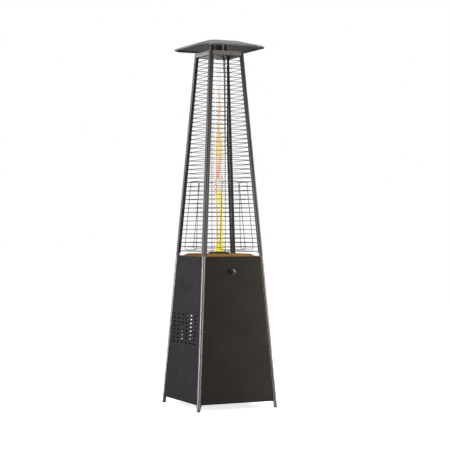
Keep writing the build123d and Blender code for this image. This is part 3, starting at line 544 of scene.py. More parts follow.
def unglazed(name, colour):
    """Unglazed ceramic or ferrite with fine pores."""
    material, tree, shader, place = new_material(name)
    pores = noise(tree, place, 900.0, 5.0, 0.7)
    dark = tuple(channel * 0.82 for channel in colour)
    toned = blended(tree, mapped(tree, pores, 0.35, 0.65, 0.0, 1.0), dark, colour)
    join(tree, toned, shader.inputs["Base Color"])
    join(tree, mapped(tree, pores, 0.3, 0.7, 0.5, 0.75), shader.inputs["Roughness"])
    bumped(tree, shader, pores, 0.3, 0.0001)
    return material


def rough_casting(name, colour):
    """Dark sand-cast iron."""
    material, tree, shader, place = new_material(name)
    sand = noise(tree, place, 520.0, 6.0, 0.7)
    lumps = noise(tree, place, 70.0, 3.0)
    light = tuple(channel * 1.8 for channel in colour)
    toned = blended(tree, mapped(tree, lumps, 0.35, 0.7, 0.0, 1.0), colour, light)
    join(tree, toned, shader.inputs["Base Color"])
    join(tree, mapped(tree, sand, 0.3, 0.7, 0.5, 0.75), shader.inputs["Roughness"])
    shader.inputs["Metallic"].default_value = 0.4
    bumped(tree, shader, math_node(tree, "ADD", sand, lumps), 0.5, 0.0005)
    return material


def finish_slot(slot, material):
    """Give a finish to every model node that uses one of the record's slots."""
    for part in frame["record"]["subparts"]:
        if part["material_slot"] == slot:
            mesh = frame["nodes"][part["node"]].data
            mesh.materials.clear()
            mesh.materials.append(material)


# ------------------------------------------------------------------ mesh helpers
def new_object(name, mesh):
    """Object at the origin with a mesh, in the scene."""
    made = bpy.data.objects.new(name, mesh)
    bpy.context.scene.collection.objects.link(made)
    return made


def shaped(name, build, *settings):
    """Object whose mesh a function builds in a bmesh from its settings, with its normals outwards."""
    work = bmesh.new()
    build(work, *settings)
    bmesh.ops.recalc_face_normals(work, faces=work.faces)
    mesh = bpy.data.meshes.new(name)
    work.to_mesh(mesh)
    work.free()
    return new_object(name, mesh)


def prism(work, low, high):
    """Closed solid between two outlines of the same number of points."""
    lower = [work.verts.new(point) for point in low]
    upper = [work.verts.new(point) for point in high]
    work.faces.new(lower)
    work.faces.new(upper)
    for i in range(len(low)):
        after = (i + 1) % len(low)
        work.faces.new((lower[i], lower[after], upper[after], upper[i]))


def skin_rings(work, rings, sides):
    """Faces between rings of points, where a ring may be a single point."""
    for low, high in zip(rings, rings[1:]):
        for i in range(sides):
            after = i + 1
            corners = [low[i % len(low)], low[after % len(low)], high[after % len(high)], high[i % len(high)]]
            work.faces.new(list(dict.fromkeys(corners)))


def baked(source, name):
    """Plain mesh object of what an object's modifiers make, in place of that object."""
    graph = bpy.context.evaluated_depsgraph_get()
    mesh = bpy.data.meshes.new_from_object(source.evaluated_get(graph))
    mesh.name = name
    bpy.data.objects.remove(source)
    return new_object(name, mesh)


def run_tree(source, tree, name, **values):
    """Run a geometry tree on an object with its named inputs set, and return the plain mesh object."""
    modifier = source.modifiers.new(name, "NODES")
    modifier.node_group = tree
    for item in tree.interface.items_tree:
        if item.item_type == "SOCKET" and item.in_out == "INPUT" and item.name in values:
            modifier[item.identifier] = values[item.name]
    return baked(source, name)


def smooth(mesh, angle=40.0):
    """Smooth shading with sharp edges kept past an angle."""
    mesh.shade_smooth()
    mesh.set_sharp_from_angle(angle=math.radians(angle))


def mounted(piece, body):
    """Ride a piece on a body."""
    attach(piece, body)
    return piece


# ------------------------------------------------------------------ operators
class HEATER_OT_frame(Operator):
    """Brushed steel of the posts, the upper ones darkened with painted shade and faintly heat-toned near the deck,
    feet and cabinet inside
    """

    bl_idname = "heater.finish_frame"
    bl_label = "Posts and feet"

    def execute(self, context):
        bright = brushed_metal(
            "brushed_post_steel", colours().bright_steel, (0.24, 0.34), (1500.0, 1500.0, 4.0), 0.9, 0.05
        )[0]
        finish_slot("post_bright", bright)
        # The upper posts are the same brushed stainless as the lower ones; their darker colour is painted shade
        # for dark reflections, with a faint heat tint near the deck over it.
        dark, tree, shader, place, base = brushed_metal(
            "painted_shade_heat_toned_post_steel", colours().painted_shade_steel, (0.26, 0.4), (1500.0, 1500.0, 6.0), 0.75, 0.1, 0.7
        )
        warm = mapped(tree, height_of(tree, place), DECK, DECK + 0.3, 0.05, -0.2)
        heated(tree, shader, place, base, warm)
        finish_slot("post_dark", dark)
        finish_slot("foot_cap", moulded("foot_cap_rubber", (0.02, 0.02, 0.021), rough=(0.6, 0.75)))
        zinc = brushed_metal("zinc_grey_sheet", (0.30, 0.30, 0.29), (0.38, 0.58), (60.0, 60.0, 60.0), 0.8)[0]
        finish_slot("inner_steel", zinc)
        return {"FINISHED"}


class HEATER_OT_cabinet(Operator):
    """Powder coat of the cabinet's panels and door, and its black fittings"""

    bl_idname = "heater.finish_cabinet"
    bl_label = "Cabinet"

    def execute(self, context):
        finish_slot("panel", painted_metal("cabinet_powder_coat", colours().powder_coat))
        black = painted_metal("blackened_steel", (0.05, 0.05, 0.052), (0.3, 0.45), relief=0.1)
        finish_slot("black_screw", black)
        finish_slot("switch", moulded("switch_plastic", (0.035, 0.035, 0.04)))
        finish_slot("magnet", unglazed("door_magnet_ferrite", (0.10, 0.10, 0.105)))
        return {"FINISHED"}


class HEATER_OT_deck(Operator):
    """Heat-toned deck, cast seat ring, gasket and glass tube"""

    bl_idname = "heater.finish_deck"
    bl_label = "Deck and glass"

    def execute(self, context):
        deck, tree, shader, place, base = brushed_metal(
            "heat_toned_deck", colours().deck, (0.36, 0.5), (5.0, 1800.0, 1800.0), dark=0.92, metallic=0.8
        )
        shader.inputs["Specular Tint"].default_value = (0.5, 0.32, 0.12, 1)
        shader.inputs["Specular IOR Level"].default_value = 0.15
        warm = mapped(tree, radius_of(tree, place), 0.05, 0.16, 0.75, -0.1)
        heated(tree, shader, place, base, warm)
        finish_slot("deck", deck)
        finish_slot("cast", rough_casting("cast_seat_iron", (0.022, 0.020, 0.019)))
        finish_slot("gasket", woven_tape())
        finish_slot("glass", clear_glass())
        return {"FINISHED"}


class HEATER_OT_top(Operator):
    """Top plate, flue, hood with its rivets, and the plated standoffs"""

    bl_idname = "heater.finish_top"
    bl_label = "Top and hood"

    def execute(self, context):
        plate = brushed_metal("brushed_plate", (0.50, 0.48, 0.47), (0.3, 0.45), (900.0, 900.0, 20.0))[0]
        finish_slot("plate", plate)
        # The flue's dark colour is painted reflection of the hood's dark underside.
        flue = brushed_metal("painted_reflection_flue_steel", (0.17, 0.15, 0.14), (0.28, 0.42), dark=0.6)[0]
        finish_slot("flue", flue)
        hood = brushed_metal("brushed_hood", colours().hood, (0.40, 0.54), (16.0, 900.0, 900.0), dust=0.3)[0]
        finish_slot("hood", hood)
        plated = brushed_metal(
            "zinc_plate", (0.90, 0.90, 0.88), (0.3, 0.42), (300.0, 300.0, 60.0), 0.85, 0.1, 0.6
        )[0]
        finish_slot("zinc", plated)
        points, normals = hood_rivet_places()
        make_fasteners("hood_rivets", rivet_template(sizes().rivet_radius), points, normals, plated)
        return {"FINISHED"}


class HEATER_OT_guards(Operator):
    """Wire guards: level wires on two rails, with one loop welded across them"""

    bl_idname = "heater.make_guards"
    bl_label = "Wire guards"

    def execute(self, context):
        s = sizes()
        wire = painted_metal("guard_wire_coat", colours().wire, rough=(0.45, 0.6), relief=0.1, dust=0.1)
        tree = built_once("Wire guard", guard_tree)
        for face, degrees in FACE_TURNS.items():
            guard = run_tree(
                shaped("rails", build_rails),
                tree,
                f"wire_guard_{face}",
                **{
                    "Half Width": FOOT_HALF,
                    "Lean": LEAN_TANGENT,
                    "First Wire": DECK + s.wire_rise,
                    "Pitch": s.wire_pitch,
                    "Count": s.wire_count,
                    "Inset": s.flange_width - s.rail_wall / 2,
                    "Depth": s.wire_depth,
                    "Wire Radius": s.wire_radius,
                    "Loop Low": DECK + s.loop_low,
                    "Loop High": DECK + s.loop_high,
                    "Loop Margin": s.loop_margin,
                    "Loop Corner": s.loop_corner,
                    "Weld Radius": s.weld_radius,
                    "Turn": math.radians(degrees),
                    "Material": wire,
                },
            )
            mounted(guard, "root")
            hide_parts(f"guard_{face}")
        return {"FINISHED"}


class HEATER_OT_screws(Operator):
    """Pan-head screws with cross recesses at every fixing of the frame"""

    bl_idname = "heater.make_screws"
    bl_label = "Frame screws"

    def execute(self, context):
        black = painted_metal("blackened_screw", (0.06, 0.058, 0.056), rough=(0.28, 0.42), relief=0.08)
        points, normals, radius, height = screw_places("frame_screws")
        template = screw_template(radius, height, sizes().recess_width)
        screws = make_fasteners("cross_recess_screws", template, points, normals, black)
        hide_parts("frame_screws")
        return {"FINISHED"}


class HEATER_OT_control(Operator):
    """Control knob, its bezel, pointer and dial marks"""

    bl_idname = "heater.make_control"
    bl_label = "Control"

    def execute(self, context):
        finish_slot("knob", moulded("knob_plastic", (0.022, 0.022, 0.023), rough=(0.32, 0.48)))
        finish_slot("bezel", moulded("bezel_plastic", (0.018, 0.018, 0.019), rough=(0.2, 0.34), relief=0.1))
        place = control_frame()
        white = unglazed("white_mark", (0.78, 0.78, 0.76))
        pointer = shaped("knob_pointer", build_pointer, place)
        pointer.data.materials.append(white)
        mounted(pointer, "knob")
        marks = shaped("dial_marks", build_marks, place)
        marks.data.materials.append(white)
        mounted(marks, "root")
        return {"FINISHED"}


class HEATER_OT_spring(Operator):
    """Return spring of the valve's stem, riding on the valve core as one rigid piece"""

    bl_idname = "heater.make_spring"
    bl_label = "Return spring"

    def execute(self, context):
        place = control_frame()
        spring = shaped("return_spring", build_spring, place)
        smooth(spring.data)
        steel = brushed_metal("spring_steel", (0.5, 0.5, 0.5), (0.2, 0.3), (500.0, 500.0, 500.0))[0]
        spring.data.materials.append(steel)
        mounted(spring, "valve_core")
        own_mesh(spring)
        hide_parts("stem_spring")
        return {"FINISHED"}


class HEATER_OT_gas(Operator):
    """Gas valve, burner, pilot and their leads"""

    bl_idname = "heater.finish_gas"
    bl_label = "Gas and burner"

    def execute(self, context):
        turned = (500.0, 500.0, 500.0)
        brass = brushed_metal("machined_brass", (0.70, 0.49, 0.20), (0.2, 0.36), turned)[0]
        finish_slot("brass", brass)
        aluminium = brushed_metal("cast_aluminium", (0.58, 0.59, 0.60), (0.38, 0.55), turned)[0]
        finish_slot("aluminium", aluminium)
        burner, tree, shader, place, base = brushed_metal(
            "heated_burner_steel", (0.36, 0.34, 0.31), (0.3, 0.5), turned
        )
        warm = mapped(tree, height_of(tree, place), DECK - 0.06, DECK_TOP, 0.1, 0.9)
        heated(tree, shader, place, base, warm)
        finish_slot("burner", burner)
        finish_slot("ceramic", unglazed("ceramic_insulator", (0.80, 0.77, 0.70)))
        finish_slot("lead", moulded("silicone_sheath", (0.30, 0.05, 0.03), (0.45, 0.6)))
        return {"FINISHED"}


class HEATER_OT_flame(Operator):
    """Gas flame inside the glass: a low foot, a bright strand with a curl, and faint wisps"""

    bl_idname = "heater.make_flame"
    bl_label = "Flame"

    def execute(self, context):
        for name, build, material, bright in (
            ("flame_strands", build_strands, "flame_bright", True),
            ("flame_plume", build_plume, "flame_faint", False),
        ):
            gas = shaped(name, build)
            smooth(gas.data)
            gas.data.materials.append(flame_material(material, bright))
            mounted(gas, "root")
        return {"FINISHED"}


class HEATER_OT_stage(Operator):
    """Pale floor, soft studio light and the camera"""

    bl_idname = "heater.make_stage"
    bl_label = "Studio"

    def execute(self, context):
        make_floor()
        make_world()
        make_lights()
        make_camera()
        return {"FINISHED"}


# ------------------------------------------------------------------ wire guards
def rail_section(z):
    """Angle section of the right-hand rail at a height, on the front face.

    Widths are measured inwards from the frame's corner, and depths from its outer face.
    """
    s = sizes()
    half = half_width(z)
    outer, inner = 0.0214, s.flange_width
    front, back = 0.0045, s.wire_depth + 0.002
    outline = (
        (outer, front),
        (inner, front),
        (inner, back),
        (inner - s.rail_wall, back),
        (inner - s.rail_wall, front + s.rail_wall),
        (outer, front + s.rail_wall),
    )
    return [(half - across, depth - half, z) for across, depth in outline]


def build_rails(work):
    """Both side rails of the front guard."""
    low, high = rail_section(GUARD_LOW), rail_section(GUARD_HIGH)
    prism(work, low, high)
    prism(work, *[[(-x, y, z) for x, y, z in outline] for outline in (low, high)])


def coated_whole(tree, geometry, material, result):
    """End a geometry tree: instances made real, with one material on everything."""
    solid = add(tree, "GeometryNodeRealizeInstances")
    join(tree, geometry, solid.inputs[0])
    coated = add(tree, "GeometryNodeSetMaterial")
    join(tree, solid.outputs[0], coated.inputs["Geometry"])
    join(tree, material, coated.inputs["Material"])
    join(tree, coated.outputs[0], result["Geometry"])
    return tree


def guard_tree(name):
    """Geometry tree: level wires, a round-cornered loop and its welds join the rails and turn to a face."""
    floats = ["Half Width", "Lean", "First Wire", "Pitch", "Inset", "Depth", "Wire Radius"]
    floats += ["Loop Low", "Loop High", "Loop Margin", "Loop Corner", "Weld Radius", "Turn"]
    sockets = [("Geometry", "NodeSocketGeometry", None), ("Count", "NodeSocketInt", 2)]
    sockets += [(label, "NodeSocketFloat", 0.0) for label in floats]
    sockets += [("Material", "NodeSocketMaterial", None)]
    outputs = [("Geometry", "NodeSocketGeometry")]
    tree, given, result = node_group(name, "GeometryNodeTree", sockets, outputs)

    def combine(x, y, z):
        """Vector in this tree."""
        return combined(tree, x, y, z)

    def reckon(operation, *values):
        """Sum in this tree."""
        return math_node(tree, operation, *values)

    def half_at(z):
        """Half of the frame's width at a height."""
        return reckon("SUBTRACT", given["Half Width"], reckon("MULTIPLY", z, given["Lean"]))

    def tube_on(curve, radius, sides):
        """Round wire along a curve."""
        profile = add(tree, "GeometryNodeCurvePrimitiveCircle")
        profile.inputs["Resolution"].default_value = sides
        join(tree, radius, profile.inputs["Radius"])
        swept = add(tree, "GeometryNodeCurveToMesh")
        swept.inputs["Fill Caps"].default_value = True
        join(tree, curve, swept.inputs["Curve"])
        join(tree, profile.outputs[0], swept.inputs["Profile Curve"])
        return swept.outputs[0]

    line = add(tree, "GeometryNodeMeshLine")
    join(tree, given["Count"], line.inputs["Count"])
    join(tree, combine(0.0, 0.0, given["First Wire"]), line.inputs["Start Location"])
    join(tree, combine(0.0, 0.0, given["Pitch"]), line.inputs["Offset"])
    z = separated(tree, add(tree, "GeometryNodeInputPosition").outputs[0])["Z"]
    half = half_at(z)

    def placed(points, x, y):
        """Points kept at their height and moved to a place on the face."""
        moved = add(tree, "GeometryNodeSetPosition")
        join(tree, points, moved.inputs["Geometry"])
        join(tree, combine(x, y, z), moved.inputs["Position"])
        return moved.outputs[0]

    stick = add(tree, "GeometryNodeCurvePrimitiveLine")
    stick.inputs["Start"].default_value = (-0.5, 0, 0)
    stick.inputs["End"].default_value = (0.5, 0, 0)
    level = add(tree, "GeometryNodeInstanceOnPoints")
    wire_y = reckon("SUBTRACT", given["Depth"], half)
    join(tree, placed(line.outputs[0], 0.0, wire_y), level.inputs["Points"])
    join(tree, tube_on(stick.outputs[0], given["Wire Radius"], 12), level.inputs["Instance"])
    span = reckon("MULTIPLY", reckon("SUBTRACT", half, given["Inset"]), 2.0)
    join(tree, combine(span, 1.0, 1.0), level.inputs["Scale"])

    middle = reckon("MULTIPLY", reckon("ADD", given["Loop Low"], given["Loop High"]), 0.5)
    rise = reckon("SUBTRACT", given["Loop High"], given["Loop Low"])
    slope = reckon("ARCTANGENT", given["Lean"])
    loop = add(tree, "GeometryNodeCurvePrimitiveQuadrilateral", mode="TRAPEZOID")
    join(tree, reckon("DIVIDE", rise, reckon("COSINE", slope)), loop.inputs["Height"])
    for name, level_z in (("Bottom Width", given["Loop Low"]), ("Top Width", given["Loop High"])):
        reach = reckon("SUBTRACT", half_at(level_z), given["Loop Margin"])
        join(tree, reckon("MULTIPLY", reach, 2.0), loop.inputs[name])
    loop.inputs["Offset"].default_value = 0.0
    bent = add(tree, "GeometryNodeFilletCurve", mode="POLY")
    bent.inputs["Count"].default_value = 8
    join(tree, loop.outputs[0], bent.inputs["Curve"])
    join(tree, given["Loop Corner"], bent.inputs["Radius"])
    stood = add(tree, "GeometryNodeTransform")
    join(tree, tube_on(bent.outputs[0], given["Wire Radius"], 12), stood.inputs["Geometry"])
    in_front = reckon("MULTIPLY", given["Wire Radius"], 1.9)
    loop_y = reckon("SUBTRACT", reckon("SUBTRACT", given["Depth"], in_front), half_at(middle))
    join(tree, combine(0.0, loop_y, middle), stood.inputs["Translation"])
    join(tree, combine(reckon("SUBTRACT", math.pi / 2, slope), 0.0, 0.0), stood.inputs["Rotation"])

    clear_of_loop = add(tree, "FunctionNodeBooleanMath", operation="OR")
    for socket, operation, end in zip(
        clear_of_loop.inputs, ("LESS_THAN", "GREATER_THAN"), (given["Loop Low"], given["Loop High"])
    ):
        past = add(tree, "FunctionNodeCompare", data_type="FLOAT", operation=operation)
        join(tree, z, past.inputs[0])
        join(tree, end, past.inputs[1])
        join(tree, past.outputs[0], socket)
    crossing = add(tree, "GeometryNodeDeleteGeometry", domain="POINT")
    join(tree, line.outputs[0], crossing.inputs["Geometry"])
    join(tree, clear_of_loop.outputs[0], crossing.inputs["Selection"])
    bead = add(tree, "GeometryNodeMeshIcoSphere")
    bead.inputs["Subdivisions"].default_value = 2
    join(tree, given["Weld Radius"], bead.inputs["Radius"])
    side_x = reckon("SUBTRACT", half, given["Loop Margin"])
    weld_y = reckon("SUBTRACT", wire_y, given["Wire Radius"])
    welds = []
    for sign in (-1.0, 1.0):
        spots = add(tree, "GeometryNodeInstanceOnPoints")
        sides = placed(crossing.outputs[0], reckon("MULTIPLY", side_x, sign), weld_y)
        join(tree, sides, spots.inputs["Points"])
        join(tree, bead.outputs["Mesh"], spots.inputs["Instance"])
        spots.inputs["Scale"].default_value = (1.25, 0.75, 1.0)
        welds.append(spots.outputs[0])

    rounds = add(tree, "GeometryNodeJoinGeometry")
    for part in (level.outputs[0], stood.outputs[0], *welds):
        join(tree, part, rounds.inputs[0])
    real = add(tree, "GeometryNodeRealizeInstances")
    join(tree, rounds.outputs[0], real.inputs[0])
    soft = add(tree, "GeometryNodeSetShadeSmooth")
    join(tree, real.outputs[0], soft.inputs[0])
    whole = add(tree, "GeometryNodeJoinGeometry")
    join(tree, soft.outputs[0], whole.inputs[0])
    join(tree, given["Geometry"], whole.inputs[0])
    turned = add(tree, "GeometryNodeTransform")
    join(tree, whole.outputs[0], turned.inputs["Geometry"])
    join(tree, combine(0.0, 0.0, given["Turn"]), turned.inputs["Rotation"])
    return coated_whole(tree, turned.outputs[0], given["Material"], result)


# ------------------------------------------------------------------ fasteners
def loose_parts(node):
    """Vertex positions of each separate solid of a model node."""
    work = bmesh.new()
    work.from_mesh(frame["nodes"][node].data)
    bmesh.ops.remove_doubles(work, verts=work.verts, dist=1e-6)
    left = set(work.verts)
    parts = []
    while left:
        stack, found = [left.pop()], []
        while stack:
            vertex = stack.pop()
            found.append(vertex.co.copy())
            for edge in vertex.link_edges:
                other = edge.other_vert(vertex)
                if other in left:
                    left.remove(other)
                    stack.append(other)
        parts.append(np.array(found))
    work.free()
    return parts


def screw_places(node):
    """Seat and outward direction of every screw of a node, and the size of their heads."""
    points, normals = [], []
    radius = height = 0.0
    for part in loose_parts(node):
        centre = part.mean(axis=0)
        axis = np.linalg.svd(part - centre, full_matrices=False)[2][0]
        along = (part - centre) @ axis
        away = np.linalg.norm(part - centre - np.outer(along, axis), axis=1)
        head = along[away > 0.75 * away.max()]
        if head.mean() < (along.max() + along.min()) / 2:
            axis, along, head = -axis, -along, -head
        points.append(Vector(centre + axis * head.min()))
        normals.append(Vector(axis))
        radius = max(radius, away.max())
        height = max(height, along.max() - head.min())
    return points, normals, radius, height


def revolved(work, profile, sides):
    """Closed solid turned about Z from (radius, height) points that start and end on the axis."""
    rings = []
    for radius, z in profile:
        if radius == 0:
            rings.append([work.verts.new((0, 0, z))])
            continue
        turns = [2 * math.pi * i / sides for i in range(sides)]
        rings.append([work.verts.new((radius * math.cos(t), radius * math.sin(t), z)) for t in turns])
    skin_rings(work, rings, sides)


def screw_template(radius, height, recess):
    """Pan head with a cross recess, its seat on the local plane."""
    rim = [(radius * math.cos(a), height * (0.35 + 0.65 * math.sin(a))) for a in np.linspace(0, 1.2, 6)]
    shank = radius * 0.55
    profile = [(0, -height / 2), (shank, -height / 2), (shank, 0), (radius, 0), *rim, (0, height)]
    head = shaped("screw_head", revolved, profile, 24)

    def slot(reach, z, turn):
        """Corners of one arm of the cross at a height."""
        arm = recess * 0.16
        corners = ((-reach, -arm, z), (reach, -arm, z), (reach, arm, z), (-reach, arm, z))
        return [turn @ Vector(corner) for corner in corners]

    def cross(work):
        """Two crossed wedges, wider at the top."""
        for quarter in (0, 1):
            turn = Matrix.Rotation(quarter * math.pi / 2, 3, "Z")
            prism(work, slot(recess / 2 * 0.7, height * 0.45, turn), slot(recess / 2, 2 * height, turn))

    cutter = shaped("recess", cross)
    cut = head.modifiers.new("recess", "BOOLEAN")
    cut.operation = "DIFFERENCE"
    cut.solver = "EXACT"
    cut.use_self = True
    cut.object = cutter
    template = baked(head, "screw_template")
    bpy.data.objects.remove(cutter)
    smooth(template.data)
    return template


def rivet_template(radius):
    """Dome rivet, its seat on the local plane."""
    height, shank = radius * 0.55, radius * 0.6
    dome = [(radius * math.cos(a), height * math.sin(a)) for a in np.linspace(0, 1.3, 6)]
    profile = [(0, -radius / 3), (shank, -radius / 3), (shank, 0), *dome, (0, height)]
    template = shaped("rivet_template", revolved, profile, 20)
    smooth(template.data)
    return template


def fastener_tree(name):
    """Geometry tree: a fastener on every point, along its direction and turned by chance about it."""
    sockets = [
        ("Geometry", "NodeSocketGeometry", None),
        ("Fastener", "NodeSocketObject", None),
        ("Seed", "NodeSocketInt", 7),
        ("Material", "NodeSocketMaterial", None),
    ]
    outputs = [("Geometry", "NodeSocketGeometry")]
    tree, given, result = node_group(name, "GeometryNodeTree", sockets, outputs)
    shape = add(tree, "GeometryNodeObjectInfo")
    join(tree, given["Fastener"], shape.inputs["Object"])
    outward = add(tree, "GeometryNodeInputNamedAttribute", data_type="FLOAT_VECTOR")
    outward.inputs["Name"].default_value = "outward"
    chance = add(tree, "FunctionNodeRandomValue", data_type="FLOAT")
    join(tree, given["Seed"], chance.inputs["Seed"])
    spin = combined(tree, 0.0, 0.0, math_node(tree, "MULTIPLY", chance.outputs[1], math.tau))
    aimed = add(tree, "FunctionNodeAlignRotationToVector", axis="Z")
    join(tree, outward.outputs["Attribute"], aimed.inputs["Vector"])
    turned = add(tree, "FunctionNodeRotateRotation", rotation_space="LOCAL")
    join(tree, aimed.outputs[0], turned.inputs[0])
    join(tree, spin, turned.inputs[1])
    placed = add(tree, "GeometryNodeInstanceOnPoints")
    join(tree, given["Geometry"], placed.inputs["Points"])
    join(tree, shape.outputs["Geometry"], placed.inputs["Instance"])
    join(tree, turned.outputs[0], placed.inputs["Rotation"])
    return coated_whole(tree, placed.outputs[0], given["Material"], result)


def make_fasteners(name, template, points, normals, material):
    """One piece made of a fastener at every place."""
    mesh = bpy.data.meshes.new(name)
    mesh.from_pydata([tuple(point) for point in points], [], [])
    outward = mesh.attributes.new("outward", "FLOAT_VECTOR", "POINT")
    outward.data.foreach_set("vector", [value for normal in normals for value in normal])
    source = new_object(name + "_places", mesh)
    tree = built_once("Fasteners", fastener_tree)
    made = run_tree(source, tree, name, Fastener=template, Seed=7, Material=material)
    bpy.data.objects.remove(template)
    return mounted(made, "root")


def hood_rivet_places():
    """Two rivets beside each clipped corner of the hood's lip."""
    points, normals = [], []
    reach = HOOD_HIGH.x
    from_tip = 0.066
    lip_middle = HOOD_LOW.z + 0.005
    for quarter in range(4):
        turn = Matrix.Rotation(quarter * math.pi / 2, 3, "Z")
        for x, y, normal in ((reach, from_tip - reach, (1, 0, 0)), (reach - from_tip, -reach, (0, -1, 0))):
            points.append(turn @ Vector((x, y, lip_middle)))
            normals.append(turn @ Vector(normal))
    return points, normals


# ------------------------------------------------------------------ control marks
def control_frame():
    """Frame on the panel at the knob's axis, Z outwards and Y up the panel."""
    outward = Vector(KNOB["axis"]).normalized()
    across = Vector((1, 0, 0))
    turn = Matrix((across, outward.cross(across), outward)).transposed().to_4x4()
    return Matrix.Translation(KNOB["pos_m"]) @ turn


def bar(work, place, length, width, low, high):
    """Small bar with a rounded end, on a local plane, its length along Y."""
    half = width / 2
    straight = length - half
    outline = [(-half, 0), (half, 0), (half, straight)]
    outline += [(half * math.cos(a), straight + half * math.sin(a)) for a in (0.6, 1.2, 1.94, 2.54)]
    outline += [(-half, straight)]
    prism(work, *[[place @ Vector((x, y, z)) for x, y in outline] for z in (low, high)])


def reach_in(place, node):
    """Lowest and highest Z and smallest and largest radius of a model node in a local frame."""
    inverse = place.inverted()
    points = [inverse @ vertex.co for vertex in frame["nodes"][node].data.vertices]
    heights = [point.z for point in points]
    radii = [point.xy.length for point in points]
    return min(heights), max(heights), min(radii), max(radii)


def build_pointer(work, place):
    """White line on the face of the knob, which points at the dial."""
    face = reach_in(place, "control_knob")[1]
    from_axis, length, width, sunk, proud = 0.0025, 0.009, 0.0022, 0.0004, 0.00025
    start = place @ Matrix.Translation((0, from_axis, 0))
    bar(work, start, length, width, face - sunk, face + proud)


def build_marks(work, place):
    """Marks round the bezel: off at the top, then growing heat settings."""
    face = reach_in(place, "knob_bezel")[1]
    from_axis, width, sunk, proud = 0.0154, 0.0014, 0.0003, 0.00015
    settings = ((0, 0.0022), (-50, 0.0015), (-90, 0.0018), (-130, 0.0020), (-170, 0.0022), (-210, 0.0024))
    for degrees, length in settings:
        turn = Matrix.Rotation(math.radians(degrees), 4, "Z")
        start = place @ turn @ Matrix.Translation((0, from_axis, 0))
        bar(work, start, length, width, face - sunk, face + proud)


def build_spring(work, place):
    """Coil spring with a closed turn at each end, in the room of the model's spring."""
    low, high, inside, outside = reach_in(place, "stem_spring")
    wire = (outside - inside) / 2
    reach = (outside + inside) / 2
    turns, steps, sides = 6.5, 28, 10
    closed = 2 * wire
    pitch = (high - low - 2 * wire - 2 * closed) / (turns - 2)
    rings = []
    for i in range(int(turns * steps) + 1):
        t = i / steps
        rise = closed * min(t, 1) + pitch * min(max(t - 1, 0), turns - 2) + closed * max(t - turns + 1, 0)
        out = Vector((math.cos(math.tau * t), math.sin(math.tau * t), 0))
        middle = out * reach + Vector((0, 0, low + wire + rise))
        angles = [math.tau * k / sides for k in range(sides)]
        across = [out * (wire * math.cos(a)) + Vector((0, 0, wire * math.sin(a))) for a in angles]
        rings.append([work.verts.new(place @ (middle + step)) for step in across])
    skin_rings(work, rings, sides)
    work.faces.new(rings[0])
    work.faces.new(rings[-1])


# ------------------------------------------------------------------ flame
# Each strand runs through points: height above the seat, sideways from the axis and half its width.
BRIGHT_STRANDS = (
    (
        (0.001, 0.002, 0.0), (0.004, 0.002, 0.022), (0.02, 0.003, 0.021), (0.035, 0.006, 0.015),
        (0.06, 0.010, 0.006), (0.08, 0.01, 0.0),
    ),
    (
        (0.004, 0.010, 0.0), (0.02, 0.011, 0.011), (0.10, 0.014, 0.010), (0.20, 0.015, 0.0085),
        (0.27, 0.013, 0.0095), (0.33, 0.011, 0.010), (0.375, 0.006, 0.006), (0.40, 0.003, 0.0),
    ),
)
FAINT_STRANDS = (
    (
        (0.004, -0.012, 0.0), (0.02, -0.014, 0.008), (0.10, -0.013, 0.006), (0.20, -0.013, 0.005),
        (0.28, -0.014, 0.0065), (0.33, -0.019, 0.007), (0.37, -0.020, 0.005), (0.40, -0.018, 0.0),
    ),
    (
        (0.36, -0.020, 0.0), (0.42, -0.019, 0.006), (0.47, -0.014, 0.0095), (0.53, -0.013, 0.008),
        (0.59, -0.016, 0.010), (0.64, -0.011, 0.0125), (0.69, -0.009, 0.010), (0.75, -0.003, 0.006),
        (0.81, 0.0, 0.0),
    ),
    (
        (0.40, 0.002, 0.0), (0.47, 0.000, 0.005), (0.54, 0.004, 0.006), (0.60, 0.008, 0.010),
        (0.66, 0.010, 0.011), (0.71, 0.006, 0.007), (0.77, 0.001, 0.004), (0.84, 0.002, 0.0),
    ),
    (
        (0.77, -0.004, 0.0), (0.82, 0.000, 0.0055), (0.88, 0.003, 0.0065), (0.94, 0.000, 0.004),
        (1.02, 0.003, 0.0),
    ),
)


def curve_through(points, steps):
    """Smooth run through rows of numbers (Catmull-Rom)."""
    rows = [points[0], *points, points[-1]]
    run = []
    for before, start, end, after in zip(rows, rows[1:], rows[2:], rows[3:]):
        for i in range(steps):
            u = i / steps
            weights = (
                -u + 2 * u**2 - u**3,
                2 - 5 * u**2 + 3 * u**3,
                u + 4 * u**2 - 3 * u**3,
                -(u**2) + u**3,
            )
            weighed = tuple(zip(weights, (before, start, end, after)))
            run.append([sum(weight * row[k] for weight, row in weighed) / 2 for k in range(3)])
    run.append(list(points[-1]))
    return run


def strand(work, points, phase, sides=18, flat=0.75):
    """Closed wavering tongue of flame along a run of points."""
    stretch = sizes().flame_height / FAINT_STRANDS[-1][-1][0]
    rings = []
    run = curve_through(points, 7)
    sway, drift, swell, thinnest = 0.0016, 0.006, 0.12, 0.0004
    for i, (rise, side, width) in enumerate(run):
        across = side + sway * math.sin(95 * rise + phase)
        middle = view_right() * across + view_deep() * drift * math.sin(21 * rise + phase)
        middle.z = SEAT_TOP + rise * stretch
        if i in (0, len(run) - 1):
            rings.append([work.verts.new(middle)])
            continue
        size = max(width, thinnest) * (1 + swell * math.sin(160 * rise + 2 * phase))
        ring = []
        for k in range(sides):
            a = math.tau * k / sides
            spread = view_right() * size * math.cos(a) + view_deep() * (size * flat * math.sin(a))
            ring.append(work.verts.new(middle + spread))
        rings.append(ring)
    skin_rings(work, rings, sides)


